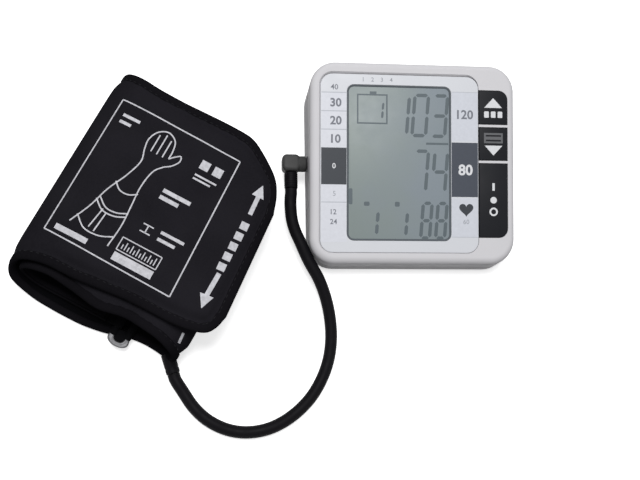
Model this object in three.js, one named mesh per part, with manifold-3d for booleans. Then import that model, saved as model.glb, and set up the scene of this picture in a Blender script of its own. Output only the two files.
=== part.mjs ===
// Upper-arm blood pressure monitor with its air hose and wrapped cuff.
// Millimetres, +X right, +Y back, +Z up, standing on z = 0.
// The monitor is a wedge-shaped case with a tilted face: display on the left, a column of keys on the right.
// The cuff lies to its left, wound into a flattened roll, and a hose joins the two through an elbow plug.

import * as THREE from "three";
import { mergeVertices } from "three/addons/utils/BufferGeometryUtils.js";
import Module from "manifold-3d";

const wasm = await Module();
wasm.setup();

// Clearances
const touchGap = 0.3;
const slidingGap = 0.3;

// Case
const caseWidth = 137.2;
const caseDepth = 130.7;
const caseCorner = 17;
const frontHeight = 25;
const faceTilt = THREE.MathUtils.degToRad(9.6);
const edgeRound = 4.2;
const wall = 2.2;
const roof = 3.2;
const lidSkirt = 12;
const floorThickness = 2.6;
const baseRound = 1.6;

// Feet
const footHeight = 2;
const footRadius = 4.6;
const footRecess = 0.8;
const footInsetX = 14.6;
const footInsetFront = 24.4;
const footInsetBack = 20.4;

// Face plate, in face coordinates: u to the right of the centre line, v up the slope from the front edge
const plateInsetLeft = 7;
const plateInsetFront = 7.2;
const plateInsetBack = 8.3;
const plateKeyGap = 0.5;
const plateCorner = 8;
const plateThickness = 1.1;
const plateSunk = 0.4;

// Display window and display
const leftColumn = 17.35;
const rightColumn = 18.35;
const windowMarginFront = 7.6;
const windowMarginBack = 7.2;
const windowCorner = 4.6;
const windowLedge = 1.75;
const displayRim = 2.8;
const displayThickness = 2.8;
const trayWall = 1.5;
const trayFloor = 1.2;
const connectorWidth = 2.4;
const connectorLength = 60;
const connectorInset = 1;

// Keys
const keyWidth = 19.3;
const keyInsetRight = 5.2;
const keyInsetFront = 17.4;
const keyInsetBack = 17.5;
const keyCorner = 6;
const downKeyLength = 21.8;
const upKeyLength = 22.4;
const keyRib = 2.2;
const keyProud = 0.4;
const keyEdge = 0.5;
const keyFlange = 1;
const keyFlangeEnds = 0.6;
const keyFlangeThickness = 1.2;
const keyTravel = 0.8;
const plungerRadius = 2.5;

// Circuit board and what sits on it
const boardDrop = 12;
const boardThickness = 1.6;
const boardInsetLeft = 29.6;
const boardInsetRight = 7.6;
const boardFront = 17;
const boardInsetBack = 17.5;
const switchSize = 6;
const switchBody = 3.5;
const switchStem = 0.8;
const switchStemRadius = 1.7;
const boardPostKeyGap = 8.6;
const boardPostInset = 6.5;
const boardPostRadius = 2.6;
const boardScrewRadius = 1;
const boardScrewHead = 1.9;
const boardScrewHeadHeight = 1.3;
const boardScrewGrip = 4;
const chipSize = 12;
const chipThickness = 1.6;
const chipInsetRight = 50;
const chipInsetFront = 18;
const buzzerRadius = 6;
const buzzerHeight = 4.6;
const buzzerInsetRight = 12;
const buzzerInsetFront = 14;
const sensorWidth = 10;
const sensorHeight = 5;
const sensorInset = 7;

// Case screws
const screwInsetX = 10.1;
const screwInsetY = 10.6;
const bossRadius = 3.5;
const bossDrop = 17;
const bossSeat = 2.5;
const screwRadius = 1.3;
const screwHeadRadius = 2.5;
const screwHeadHeight = 1.8;
const screwGrip = 8;

// Battery bay, four round cells side by side
const cellCount = 4;
const cellRadius = 7.1;
const cellLength = 49.2;
const cellEdge = 0.6;
const nubRadius = 2.7;
const nubLength = 1;
const cellPitch = 14.8;
const cellSlack = 0.4;
const bayCentreX = 11;
const bayBackInset = 6.15;
const bayWall = 1.5;
const contactThickness = 0.4;
const contactWidth = 10;
const contactSpring = 5.8;
const springTip = 2.2;
const springFoot = 4;
const doorThickness = 2.3;
const doorTongue = 1.2;
const doorTongueThickness = 0.8;
const doorTongueLift = 0.9;
const doorGroove = 0.5;
const doorGrooveWidth = 1.1;
const doorGroovePitch = 2.4;
const doorGrooveLength = 16;
const doorGrooveInset = 10;

// Air system
const portY = 3;
const portZ = 18;
const socketRadius = 5.2;
const socketBore = 3.1;
const socketProud = 0.3;
const socketLength = 7;
const socketFlangeRadius = 7;
const socketFlange = 1.2;
const manifoldWidth = 10;
const manifoldDepth = 16;
const manifoldRise = 6;
const pumpRadius = 10;
const pumpMotorLength = 24;
const pumpHeadLength = 12;
const pumpInset = 27.6;
const pumpBackInset = 5.35;
const pumpRise = 0.8;
const pumpEdge = 2;
const pumpHeadWidth = 19;
const cradleLength = 10;
const cradleInset = 6;
const cradleHeight = 5;
const valveWidth = 12;
const valveDepth = 18;
const valveHeight = 14;
const valveInset = 10.6;
const valveInsetFront = 26.35;
const tubeRadius = 2.25;
const tubeBore = 1.25;

// Elbow plug and hose
const plugBodyWidth = 12;
const plugBodyDepth = 11.4;
const plugBodyHeight = 11;
const plugBodyEdge = 2;
const plugNeckRadius = 4.4;
const plugShoulder = 0.6;
const plugNeckLength = 4.3;
const spigotLength = 6.4;
const collarRadius = 4.5;
const collarLength = 11;
const hoseRadius = 4;
const hoseSides = 10;
const hoseSteps = 22;
const hoseLead = 3;

// The hose's route from the plug's collar to the cuff, chosen by hand
const hoseRoute = [
  [-80, -22, 17.9],
  [-79.2, -34.5, 17.6],
  [-77.2, -42, 17.4],
  [-74.1, -49, 17],
  [-68.3, -61.8, 15.4],
  [-61, -74.6, 12.8],
  [-56.4, -86.6, 9.6],
  [-53.7, -98.8, 6.6],
  [-52.9, -111.4, 4.9],
  [-54.5, -124.4, 4.3],
  [-59.1, -137.5, 4.2],
  [-67.2, -150.6, 4.2],
  [-79.4, -162, 4.2],
  [-93, -169.2, 4.2],
  [-106.9, -171.7, 4.2],
  [-119.8, -170.1, 4.2],
  [-132.5, -164.2, 4.2],
  [-142, -156, 4.3],
  [-150.2, -145.6, 4.8],
];

// Rubber boot on the cuff's front edge, at a path length along the band
const bootSeat = 264.5;
const bootHeading = THREE.MathUtils.degToRad(112);
const bootRadius = 4.5;
const bootLength = 10;

// Cuff, in its own coordinates: x across the roll, y along the arm
const cuffX = -167.6;
const cuffY = -43.8;
const cuffTurn = THREE.MathUtils.degToRad(-28.5);
const cuffHeight = 47;
const cuffLeft = -67.5;
const cuffRight = 53.5;
const flapEnd = 67.8;
const flapSlant = 0.068;
const flapSlantReach = 40;
const flapRounding = [3.2, 6, 10, 15, 21, 31, 43];
const innerEndX = 0;
const clothThickness = 1.2;
const bladderThickness = 3;
const turnGap = 0.6;
const edgeTaper = 19;
const bindingWidth = 2.4;
const bindingThickness = 3.4;
const bladderStart = 134;
const bladderEnd = 372;
const bladderMargin = 21;
const thinning = 18;
const rowSpacing = 1.5;

// Finished edges of the band, as path length from the flap's end and place along the arm
const frontEdge = [
  [0, -30], [2, -38], [6, -44.6], [15, -48], [27, -49.6], [46, -49.6], [60, -50], [75, -51.8], [93, -53.6],
  [111, -53.8], [126, -57],
  [140, -62.4], [153, -69.6], [176, -74.4], [193, -74.4], [210, -72.8], [226, -70.6], [240, -67.8], [253, -67.4],
  [280, -66.6], [308, -61], [330, -59], [348, -63], [366, -60], [384, -58], [405, -62], [428, -65], [472, -65],
];
const backEdge = [
  [0, 40], [3, 51], [9, 61.5], [20, 68.8], [31, 74.8], [39, 78.2], [45, 79], [60, 79], [90, 77.7], [108, 77.9],
  [122, 79.6], [132, 79.2], [142, 76.4], [153, 71.4], [164, 67.5], [176, 65],
  [210, 66], [240, 66], [262, 58], [280, 54], [298, 58], [320, 70], [384, 73.5], [428, 72], [472, 72],
];

// Hook and loop patches under the flap
const hookThickness = 1;
const loopThickness = 2;
const hookStart = 24;
const hookLength = 62;
const hookFront = -22;
const hookBack = 50;
const loopLength = 66;
const loopMargin = 2;

// Pull-through ring at the band's inner end
const ringLength = 152;
const ringWidth = 12.6;
const ringWire = 3.2;
const ringCorner = 5;
const ringX = 13;
const ringY = 2.5;
const tabLength = 134;

// Sizes worked out from the ones above
const caseFront = -caseDepth / 2;
const caseBack = caseDepth / 2;
const baseZ = footHeight;
const floorZ = baseZ + floorThickness;
const faceLength = caseDepth / Math.cos(faceTilt);
const keyRight = caseWidth / 2 - keyInsetRight;
const keyLeft = keyRight - keyWidth;
const startKeyLength = faceLength - keyInsetBack - keyInsetFront - downKeyLength - upKeyLength - 2 * keyRib;
const plateLeft = -caseWidth / 2 + plateInsetLeft;
const plateRight = keyLeft - plateKeyGap;
const plateBack = faceLength - plateInsetBack;
const windowWidth = plateRight - plateLeft - leftColumn - rightColumn;
const windowLength = plateBack - plateInsetFront - windowMarginFront - windowMarginBack;
const windowU = plateLeft + leftColumn + windowWidth / 2;
const windowV = plateInsetFront + windowMarginFront + windowLength / 2;
const plateTop = -plateSunk;
const pocketDepth = plateSunk + plateThickness + touchGap;
const ledgeMiddle = (roof + pocketDepth) / 2;
const boardTop = -boardDrop;
const boardLeft = -caseWidth / 2 + boardInsetLeft;
const boardRight = caseWidth / 2 - boardInsetRight;
const boardBack = faceLength - boardInsetBack;
const boardPostU = keyLeft - boardPostKeyGap;
const sensorU = boardLeft + sensorInset;
const boardBottom = boardTop - boardThickness;
const displayWidth = windowWidth + 2 * displayRim;
const displayLength = windowLength + 2 * displayRim;
const displayTop = -roof - touchGap;
const trayFloorTop = displayTop - displayThickness - touchGap;
const downKeyFront = keyInsetFront + startKeyLength + keyRib;
const upKeyFront = downKeyFront + downKeyLength + keyRib;
const keyU = (keyLeft + keyRight) / 2;
const switchTop = boardTop + touchGap + switchBody + switchStem;
const plungerBottom = switchTop + keyTravel + touchGap;
const bayWidth = (cellCount - 1) * cellPitch + 2 * (cellRadius + cellSlack);
const bayLength = cellLength + nubLength + contactSpring + 2 * contactThickness + 4 * touchGap;
const bayLeft = bayCentreX - bayWidth / 2;
const bayRight = bayCentreX + bayWidth / 2;
const bayBack = caseBack - bayBackInset;
const bayFront = bayBack - bayLength;
const pumpX = -caseWidth / 2 + pumpInset;
const valveX = -caseWidth / 2 + valveInset;
const valveY = caseFront + valveInsetFront;
const cellZ = floorZ + cellSlack + cellRadius;
const bayTop = cellZ + cellRadius + cellSlack;
const socketFace = -caseWidth / 2 - socketProud;
const socketEnd = socketFace + socketLength;
const bandThickness = 2 * clothThickness + bladderThickness + 2 * touchGap;
const bandMid = bandThickness / 2;
const bindingReach = bindingWidth + touchGap;

// Height of the case's face above the table at a depth y
function faceHeight(y) {
  return frontHeight + (y - caseFront) * Math.tan(faceTilt);
}

// Basic geometry helpers

function solid(geometry, matrix) {
  const plain = geometry.clone();
  plain.deleteAttribute("normal");
  plain.deleteAttribute("uv");
  if (matrix) {
    plain.applyMatrix4(matrix);
  }
  const merged = mergeVertices(plain, 1e-5);
  const triVerts = Uint32Array.from(merged.index.array);
  const vertProperties = Float32Array.from(merged.attributes.position.array);
  return new wasm.Manifold(new wasm.Mesh({ numProp: 3, vertProperties, triVerts }));
}

function geometryOf(manifold) {
  const mesh = manifold.getMesh();
  const geometry = new THREE.BufferGeometry();
  geometry.setAttribute("position", new THREE.BufferAttribute(Float32Array.from(mesh.vertProperties), 3));
  geometry.setIndex(new THREE.BufferAttribute(Uint32Array.from(mesh.triVerts), 1));
  geometry.computeVertexNormals();
  return geometry;
}

function join(...geometries) {
  return geometryOf(geometries.map((item) => solid(item)).reduce((sum, item) => sum.add(item)));
}

function cut(geometry, ...tools) {
  return geometryOf(tools.map((item) => solid(item)).reduce((rest, item) => rest.subtract(item), solid(geometry)));
}

function common(geometry, other) {
  return geometryOf(solid(geometry).intersect(solid(other)));
}

function box(x0, x1, y0, y1, z0, z1) {
  const geometry = new THREE.BoxGeometry(x1 - x0, y1 - y0, z1 - z0);
  geometry.translate((x0 + x1) / 2, (y0 + y1) / 2, (z0 + z1) / 2);
  return geometry;
}

// Upright cylinder from z0 to z1
function post(x, y, radius, z0, z1, sides = 16) {
  const geometry = new THREE.CylinderGeometry(radius, radius, z1 - z0, sides);
  geometry.rotateX(Math.PI / 2);
  geometry.translate(x, y, (z0 + z1) / 2);
  return geometry;
}

// Outline with its own radius at each corner, in the order front left, front right, back right, back left
function panelShape(x0, x1, y0, y1, radii) {
  const [a, b, c, d] = radii;
  const shape = new THREE.Shape();
  shape.moveTo(x0 + a, y0);
  shape.lineTo(x1 - b, y0);
  if (b > 0) {
    shape.absarc(x1 - b, y0 + b, b, -Math.PI / 2, 0, false);
  }
  shape.lineTo(x1, y1 - c);
  if (c > 0) {
    shape.absarc(x1 - c, y1 - c, c, 0, Math.PI / 2, false);
  }
  shape.lineTo(x0 + d, y1);
  if (d > 0) {
    shape.absarc(x0 + d, y1 - d, d, Math.PI / 2, Math.PI, false);
  }
  shape.lineTo(x0, y0 + a);
  if (a > 0) {
    shape.absarc(x0 + a, y0 + a, a, Math.PI, 1.5 * Math.PI, false);
  }
  return shape;
}

function slab(shape, z0, z1, curveSegments = 3) {
  const geometry = new THREE.ExtrudeGeometry(shape, { depth: z1 - z0, bevelEnabled: false, curveSegments });
  geometry.translate(0, 0, z0);
  return geometry;
}

function panel(x0, x1, y0, y1, radius, z0, z1) {
  return slab(panelShape(x0, x1, y0, y1, [radius, radius, radius, radius]), z0, z1);
}

// Turned piece round the z axis from a closed or axis-to-axis profile of [radius, height] points
function turned(profile, sides = 18) {
  const geometry = new THREE.LatheGeometry(profile.map(([r, h]) => new THREE.Vector2(r, h)), sides);
  geometry.rotateX(Math.PI / 2);
  return geometry;
}

// Solid through a stack of rings with equal numbers of points, capped at both ends
function loft(rings) {
  const count = rings[0].length;
  const positions = [];
  const index = [];
  rings.forEach((ring) => ring.forEach((point) => positions.push(point.x, point.y, point.z)));
  for (let i = 0; i < rings.length - 1; i += 1) {
    for (let j = 0; j < count; j += 1) {
      const a = i * count + j;
      const b = i * count + (j + 1) % count;
      index.push(a, b, b + count, a, b + count, a + count);
    }
  }
  [0, rings.length - 1].forEach((i) => {
    const middle = new THREE.Vector3();
    rings[i].forEach((point) => middle.addScaledVector(point, 1 / count));
    const centre = positions.length / 3;
    positions.push(middle.x, middle.y, middle.z);
    for (let j = 0; j < count; j += 1) {
      const a = i * count + j;
      const b = i * count + (j + 1) % count;
      index.push(...(i === 0 ? [centre, b, a] : [centre, a, b]));
    }
  });
  return indexed(positions, index);
}

// Endless tube through a loop of rings
function loopLoft(rings) {
  const count = rings[0].length;
  const positions = [];
  const index = [];
  rings.forEach((ring, i) => {
    const next = (i + 1) % rings.length;
    ring.forEach((point, j) => {
      positions.push(point.x, point.y, point.z);
      const k = (j + 1) % count;
      index.push(i * count + j, i * count + k, next * count + k);
      index.push(i * count + j, next * count + k, next * count + j);
    });
  });
  return indexed(positions, index);
}

function indexed(positions, index) {
  const geometry = new THREE.BufferGeometry();
  geometry.setAttribute("position", new THREE.Float32BufferAttribute(positions, 3));
  geometry.setIndex(index);
  geometry.computeVertexNormals();
  return geometry;
}

// Hollow or solid tube along a curve
function tube(extrudePath, radius, bore, steps, sides = 8) {
  const shape = new THREE.Shape().absarc(0, 0, radius, 0, 2 * Math.PI, false);
  if (bore > 0) {
    shape.holes.push(new THREE.Path().absarc(0, 0, bore, 0, 2 * Math.PI, true));
  }
  return new THREE.ExtrudeGeometry(shape, { steps, extrudePath, curveSegments: sides / 2, bevelEnabled: false });
}

// Curve that leaves its first point and enters its last one along the given directions
function bend(from, leaving, to, entering) {
  const reach = from.distanceTo(to) * 0.4;
  return new THREE.CubicBezierCurve3(
    from, from.clone().addScaledVector(leaving, reach), to.clone().addScaledVector(entering, -reach), to);
}

// Scene graph

const root = new THREE.Group();
const body = new THREE.Group();
const face = new THREE.Group();
face.position.set(0, caseFront, frontHeight);
face.rotation.x = faceTilt;
face.updateMatrix();
body.add(face);
const cuff = new THREE.Group();
cuff.position.set(cuffX, cuffY, 0);
cuff.rotation.z = cuffTurn;
cuff.updateMatrix();
root.add(body, cuff);

function finish(color, roughness, metalness = 0) {
  return { color, roughness, metalness };
}

const finishes = {
  shell: finish(0xcfced1, 0.35),
  underside: finish(0xc4c3c6, 0.45),
  plate: finish(0xc9ccd4, 0.4),
  window: finish(0x8b9699, 0.12),
  display: finish(0x7f8b8c, 0.3),
  key: finish(0x1e1f23, 0.4),
  darkPlastic: finish(0x3a3b3f, 0.5),
  whitePlastic: finish(0xdedede, 0.45),
  board: finish(0x1f5a3a, 0.5),
  chip: finish(0x141416, 0.45),
  steel: finish(0xb9bbbd, 0.28, 1),
  nickel: finish(0xc8c6bf, 0.3, 1),
  cell: finish(0x33363c, 0.35),
  rubber: finish(0x1a1a1c, 0.8),
  silicone: finish(0xd8d4c8, 0.55),
  elbow: finish(0x4f4f4f, 0.55),
  hose: finish(0x141315, 0.5),
  cloth: finish(0x1d1d1f, 0.85),
  lining: finish(0x26262b, 0.9),
  bladder: finish(0x2c2a28, 0.7),
};

function add(group, name, geometry, look) {
  const mesh = new THREE.Mesh(geometry, new THREE.MeshStandardMaterial(look));
  mesh.name = name;
  group.add(mesh);
  return mesh;
}

// Ring of points round the case at an inset from its outline, each at the height that the rule gives
function caseRing(inset, height) {
  const halfX = caseWidth / 2 - inset;
  const halfY = caseDepth / 2 - inset;
  const radius = caseCorner - inset;
  const outline = panelShape(-halfX, halfX, -halfY, halfY, [radius, radius, radius, radius]);
  const points = outline.extractPoints(4).shape;
  return points.slice(0, -1).map((point) => new THREE.Vector3(point.x, point.y, height(point.y)));
}

function inFace(geometry) {
  return geometry.applyMatrix4(face.matrix);
}

const screwPlaces = [-1, 1].flatMap((sideX) => [-1, 1].map((sideY) => ({
  x: sideX * (caseWidth / 2 - screwInsetX),
  y: sideY * (caseDepth / 2 - screwInsetY),
})));

const keys = [
  { name: "start_stop", front: keyInsetFront, length: startKeyLength, radii: [0, keyCorner, 0, 0] },
  { name: "down", front: downKeyFront, length: downKeyLength, radii: [0, 0, 0, 0] },
  { name: "up", front: upKeyFront, length: upKeyLength, radii: [0, 0, keyCorner, 0] },
];

// Upper shell: the bezel with its skirt, the plate's pocket, the window and the key holes
function upperShell() {
  const rings = [caseRing(0, (y) => faceHeight(y) - lidSkirt)];
  const edgeSteps = 4;
  for (let k = 0; k <= edgeSteps; k += 1) {
    const angle = (k / edgeSteps) * Math.PI / 2;
    const drop = edgeRound * (1 - Math.sin(angle));
    rings.push(caseRing(edgeRound * (1 - Math.cos(angle)), (y) => faceHeight(y) - drop));
  }
  const hollow = loft([
    caseRing(wall, (y) => faceHeight(y) - lidSkirt - 1),
    caseRing(wall, (y) => faceHeight(y) - roof / Math.cos(faceTilt)),
  ]);
  const pocket = inFace(panel(
    plateLeft - touchGap, plateRight + touchGap, plateInsetFront - touchGap, plateBack + touchGap,
    plateCorner + touchGap, -pocketDepth, 1,
  ));
  const opening = inFace(panel(
    windowU - windowWidth / 2 + windowLedge, windowU + windowWidth / 2 - windowLedge,
    windowV - windowLength / 2 + windowLedge, windowV + windowLength / 2 - windowLedge,
    windowCorner - windowLedge, -roof - 1, 1,
  ));
  const keyHoles = keys.map((key) => inFace(slab(panelShape(
    keyLeft - slidingGap, keyRight + slidingGap, key.front - slidingGap, key.front + key.length + slidingGap,
    key.radii.map((radius) => (radius > 0 ? radius + slidingGap : 0)),
  ), -roof - 1, 1)));
  const shell = cut(loft(rings), hollow, pocket, opening, ...keyHoles);
  const posts = screwPlaces.map(({ x, y }) => {
    const top = faceHeight(y) - ledgeMiddle;
    return cut(
      post(x, y, bossRadius, faceHeight(y) - bossDrop + touchGap, top),
      post(x, y, screwRadius + touchGap, faceHeight(y) - bossDrop - 1, faceHeight(y) - bossDrop + screwGrip + 1),
    );
  });
  const boardPosts = boardPostPlaces().map(({ u, v }) => inFace(cut(
    post(u, v, boardPostRadius, boardTop + touchGap, -ledgeMiddle),
    post(u, v, boardScrewRadius + touchGap, boardTop - 1, boardTop + touchGap + boardScrewGrip + 1),
  )));
  return join(shell, ...posts, ...boardPosts);
}

function boardPostPlaces() {
  return [boardFront + boardPostInset, boardBack - boardPostInset].map((v) => ({ u: boardPostU, v }));
}

function lowerOutside() {
  return loft([
    caseRing(baseRound, () => baseZ),
    caseRing(baseRound * 0.3, () => baseZ + baseRound * 0.3),
    caseRing(0, () => baseZ + baseRound),
    caseRing(0, (y) => faceHeight(y) - lidSkirt - touchGap),
  ]);
}

const footPlaces = [-1, 1].flatMap((sideX) => [
  { x: sideX * (caseWidth / 2 - footInsetX), y: caseFront + footInsetFront },
  { x: sideX * (caseWidth / 2 - footInsetX), y: caseBack - footInsetBack },
]);

// Lower shell: wedge tub with the battery bay, screw bosses, foot recesses and the hole for the air socket
function lowerShell() {
  const hollow = loft([
    caseRing(wall, () => floorZ),
    caseRing(wall, (y) => faceHeight(y) - lidSkirt + 5),
  ]);
  const bayBlock = box(bayLeft - bayWall, bayRight + bayWall, bayFront - bayWall, bayBack + bayWall,
    baseZ + 1, bayTop + bayWall);
  const bosses = screwPlaces.map(({ x, y }) => post(x, y, bossRadius, baseZ + 1, faceHeight(y) - bossDrop));
  const tub = join(cut(lowerOutside(), hollow), bayBlock, ...bosses);
  const bayHollow = box(bayLeft, bayRight, bayFront, bayBack, baseZ - 1, bayTop);
  const doorway = box(bayLeft, bayRight, bayFront, caseBack + 1, baseZ - 1, floorZ);
  const slotLow = baseZ + doorTongueLift - slidingGap;
  const slot = box(bayLeft - doorTongue - slidingGap, bayRight + doorTongue + slidingGap, bayFront, caseBack + 1,
    slotLow, slotLow + doorTongueThickness + 2 * slidingGap);
  const screwHoles = screwPlaces.map(({ x, y }) => join(
    post(x, y, screwRadius + touchGap, baseZ, faceHeight(y) - bossDrop + 1),
    post(x, y, screwHeadRadius + touchGap, baseZ - 1, faceHeight(y) - bossDrop - bossSeat),
  ));
  const footHoles = footPlaces.map(({ x, y }) => post(x, y, footRadius + touchGap, baseZ - 1, baseZ + footRecess));
  const portHole = post(0, 0, socketRadius + touchGap, -2, wall + 2);
  portHole.rotateY(Math.PI / 2);
  portHole.translate(-caseWidth / 2, portY, portZ);
  return cut(tub, bayHollow, doorway, slot, ...screwHoles, ...footHoles, portHole);
}

// Battery door: a flat panel with side tongues that slides out to the back
function batteryDoor() {
  const front = bayFront + slidingGap;
  const blank = common(
    box(bayLeft + slidingGap, bayRight - slidingGap, front, caseBack, baseZ, baseZ + doorThickness),
    lowerOutside(),
  );
  const tongueLow = baseZ + doorTongueLift;
  const tongues = box(bayLeft - doorTongue, bayRight + doorTongue, front, bayBack,
    tongueLow, tongueLow + doorTongueThickness);
  const grooves = [0, 1, 2, 3].map((i) => {
    const y = bayBack - doorGrooveInset + i * doorGroovePitch;
    return box(bayCentreX - doorGrooveLength / 2, bayCentreX + doorGrooveLength / 2, y, y + doorGrooveWidth,
      baseZ - 1, baseZ + doorGroove);
  });
  return cut(join(blank, tongues), ...grooves);
}

add(body, "upper_shell", upperShell(), finishes.shell);
add(body, "lower_shell", lowerShell(), finishes.underside);
add(body, "battery_door", batteryDoor(), finishes.underside);

footPlaces.forEach(({ x, y }, i) => {
  const foot = add(body, `foot_${i + 1}`, post(0, 0, footRadius, 0, footHeight + footRecess - touchGap),
    finishes.rubber);
  foot.position.set(x, y, 0);
});

screwPlaces.forEach(({ x, y }, i) => {
  const seat = -bossSeat - touchGap;
  const screw = turned([
    [0, seat - screwHeadHeight],
    [screwHeadRadius, seat - screwHeadHeight],
    [screwHeadRadius, seat],
    [screwRadius, seat],
    [screwRadius, screwGrip],
    [0, screwGrip],
  ], 12);
  const mesh = add(body, `case_screw_${i + 1}`, screw, finishes.steel);
  mesh.position.set(x, y, faceHeight(y) - bossDrop);
});

// Face plate with its window hole, and the window in it
function facePlate() {
  const blank = panel(plateLeft, plateRight, plateInsetFront, plateBack, plateCorner, plateTop - plateThickness, plateTop);
  const hole = panel(
    windowU - windowWidth / 2 - touchGap, windowU + windowWidth / 2 + touchGap,
    windowV - windowLength / 2 - touchGap, windowV + windowLength / 2 + touchGap,
    windowCorner + touchGap, plateTop - plateThickness - 1, plateTop + 1,
  );
  return cut(blank, hole);
}

add(face, "face_plate", facePlate(), finishes.plate);
const windowMesh = add(face, "display_window", panel(
  -windowWidth / 2, windowWidth / 2, -windowLength / 2, windowLength / 2, windowCorner, -plateThickness, 0,
), finishes.window);
windowMesh.position.set(windowU, windowV, plateTop);

const displayMesh = add(face, "display_panel", box(
  -displayWidth / 2, displayWidth / 2, -displayLength / 2, displayLength / 2, -displayThickness, 0,
), finishes.display);
displayMesh.position.set(windowU, windowV, displayTop);

// Tray that carries the display over the circuit board, with a slot for the rubber connector
function displayTray() {
  const innerX = displayWidth / 2 + touchGap;
  const innerY = displayLength / 2 + touchGap;
  const outerX = innerX + trayWall;
  const outerY = innerY + trayWall;
  const slotX = connectorLength / 2 + touchGap;
  return cut(
    box(-outerX, outerX, -outerY, outerY, boardTop + touchGap, displayTop),
    box(-innerX, innerX, -innerY, innerY, trayFloorTop, displayTop + 1),
    box(-innerX, innerX, -innerY, innerY, boardTop - 1, trayFloorTop - trayFloor),
    box(-slotX, slotX, connectorSeat() - touchGap, connectorSeat() + connectorWidth + touchGap,
      boardTop - 1, displayTop),
  );
}

function connectorSeat() {
  return -displayLength / 2 + connectorInset;
}

const trayMesh = add(face, "display_tray", displayTray(), finishes.whitePlastic);
trayMesh.position.set(windowU, windowV, 0);
const connectorMesh = add(face, "display_connector", box(
  -connectorLength / 2, connectorLength / 2, connectorSeat(), connectorSeat() + connectorWidth,
  boardTop + touchGap, displayTop - displayThickness - touchGap,
), finishes.silicone);
connectorMesh.position.set(windowU, windowV, 0);

// Circuit board, with the holes for its two screws
function circuitBoard() {
  return cut(
    box(boardLeft, boardRight, boardFront, boardBack, boardBottom, boardTop),
    ...boardPostPlaces().map(({ u, v }) => post(u, v, boardScrewRadius + touchGap, boardBottom - 1, boardTop + 1)),
  );
}

add(face, "circuit_board", circuitBoard(), finishes.board);

boardPostPlaces().forEach(({ u, v }, i) => {
  const screw = turned([
    [0, -boardScrewHeadHeight],
    [boardScrewHead, -boardScrewHeadHeight],
    [boardScrewHead, 0],
    [boardScrewRadius, 0],
    [boardScrewRadius, boardThickness + boardScrewGrip],
    [0, boardThickness + boardScrewGrip],
  ], 10);
  const mesh = add(face, `board_screw_${i + 1}`, screw, finishes.steel);
  mesh.position.set(u, v, boardBottom - touchGap);
});

add(face, "microcontroller", box(-chipSize / 2, chipSize / 2, -chipSize / 2, chipSize / 2, -chipThickness, 0),
  finishes.chip).position.set(boardRight - chipInsetRight, boardFront + chipInsetFront, boardBottom - touchGap);
add(face, "buzzer", post(0, 0, buzzerRadius, -buzzerHeight, 0), finishes.chip)
  .position.set(boardRight - buzzerInsetRight, boardFront + buzzerInsetFront, boardBottom - touchGap);

// The sensor sits beside the manifold, on the underside of the board
const sensorV = (portY - caseFront) / Math.cos(faceTilt);
add(face, "pressure_sensor", box(-sensorWidth / 2, sensorWidth / 2, -sensorWidth / 2, sensorWidth / 2,
  -sensorHeight, 0), finishes.whitePlastic).position.set(sensorU, sensorV, boardBottom - touchGap);

// Keys with their switches
keys.forEach((key) => {
  const back = key.front + key.length;
  const edge = keyEdge;
  const shape = panelShape(keyLeft + edge, keyRight - edge, key.front + edge, back - edge,
    key.radii.map((radius) => Math.max(radius - edge, 0)));
  const cap = new THREE.ExtrudeGeometry(shape, {
    depth: roof + touchGap + keyFlangeThickness + keyProud - 2 * edge,
    bevelEnabled: true,
    bevelSize: edge,
    bevelThickness: edge,
    bevelSegments: 2,
    curveSegments: 3,
  });
  const flangeTop = -roof - touchGap;
  const flangeBottom = flangeTop - keyFlangeThickness;
  cap.translate(0, 0, flangeBottom + edge);
  const flange = box(keyLeft - keyFlange, keyRight + keyFlangeEnds, key.front - keyFlangeEnds,
    back + keyFlangeEnds, flangeBottom, flangeTop);
  const middle = key.front + key.length / 2;
  const plunger = post(keyU, middle, plungerRadius, plungerBottom, flangeTop - 0.2, 16);
  add(face, `key_${key.name}`, join(cap, flange, plunger), finishes.key);

  const switchBase = boardTop + touchGap;
  const half = switchSize / 2;
  add(face, `switch_${key.name}`, join(
    box(keyU - half, keyU + half, middle - half, middle + half, switchBase, switchBase + switchBody),
    post(keyU, middle, switchStemRadius, switchBase + 1, switchTop, 14),
  ), finishes.chip);
});

// Cells and their contacts; every second cell faces the other way
const cellXs = Array.from({ length: cellCount }, (_, i) => bayCentreX + (i - (cellCount - 1) / 2) * cellPitch);
const springAtFront = (i) => i % 2 === 0;

cellXs.forEach((x, i) => {
  const geometry = turned([
    [0, 0],
    [cellRadius - cellEdge, 0],
    [cellRadius, cellEdge],
    [cellRadius, cellLength - cellEdge],
    [cellRadius - cellEdge, cellLength],
    [nubRadius, cellLength],
    [nubRadius, cellLength + nubLength],
    [0, cellLength + nubLength],
  ], 16);
  const mesh = add(body, `battery_${i + 1}`, geometry, finishes.cell);
  const clear = touchGap + contactThickness;
  const springClear = clear + contactSpring + touchGap;
  mesh.rotation.x = springAtFront(i) ? -Math.PI / 2 : Math.PI / 2;
  mesh.position.set(x, springAtFront(i) ? bayFront + springClear : bayBack - springClear, cellZ);
});

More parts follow.
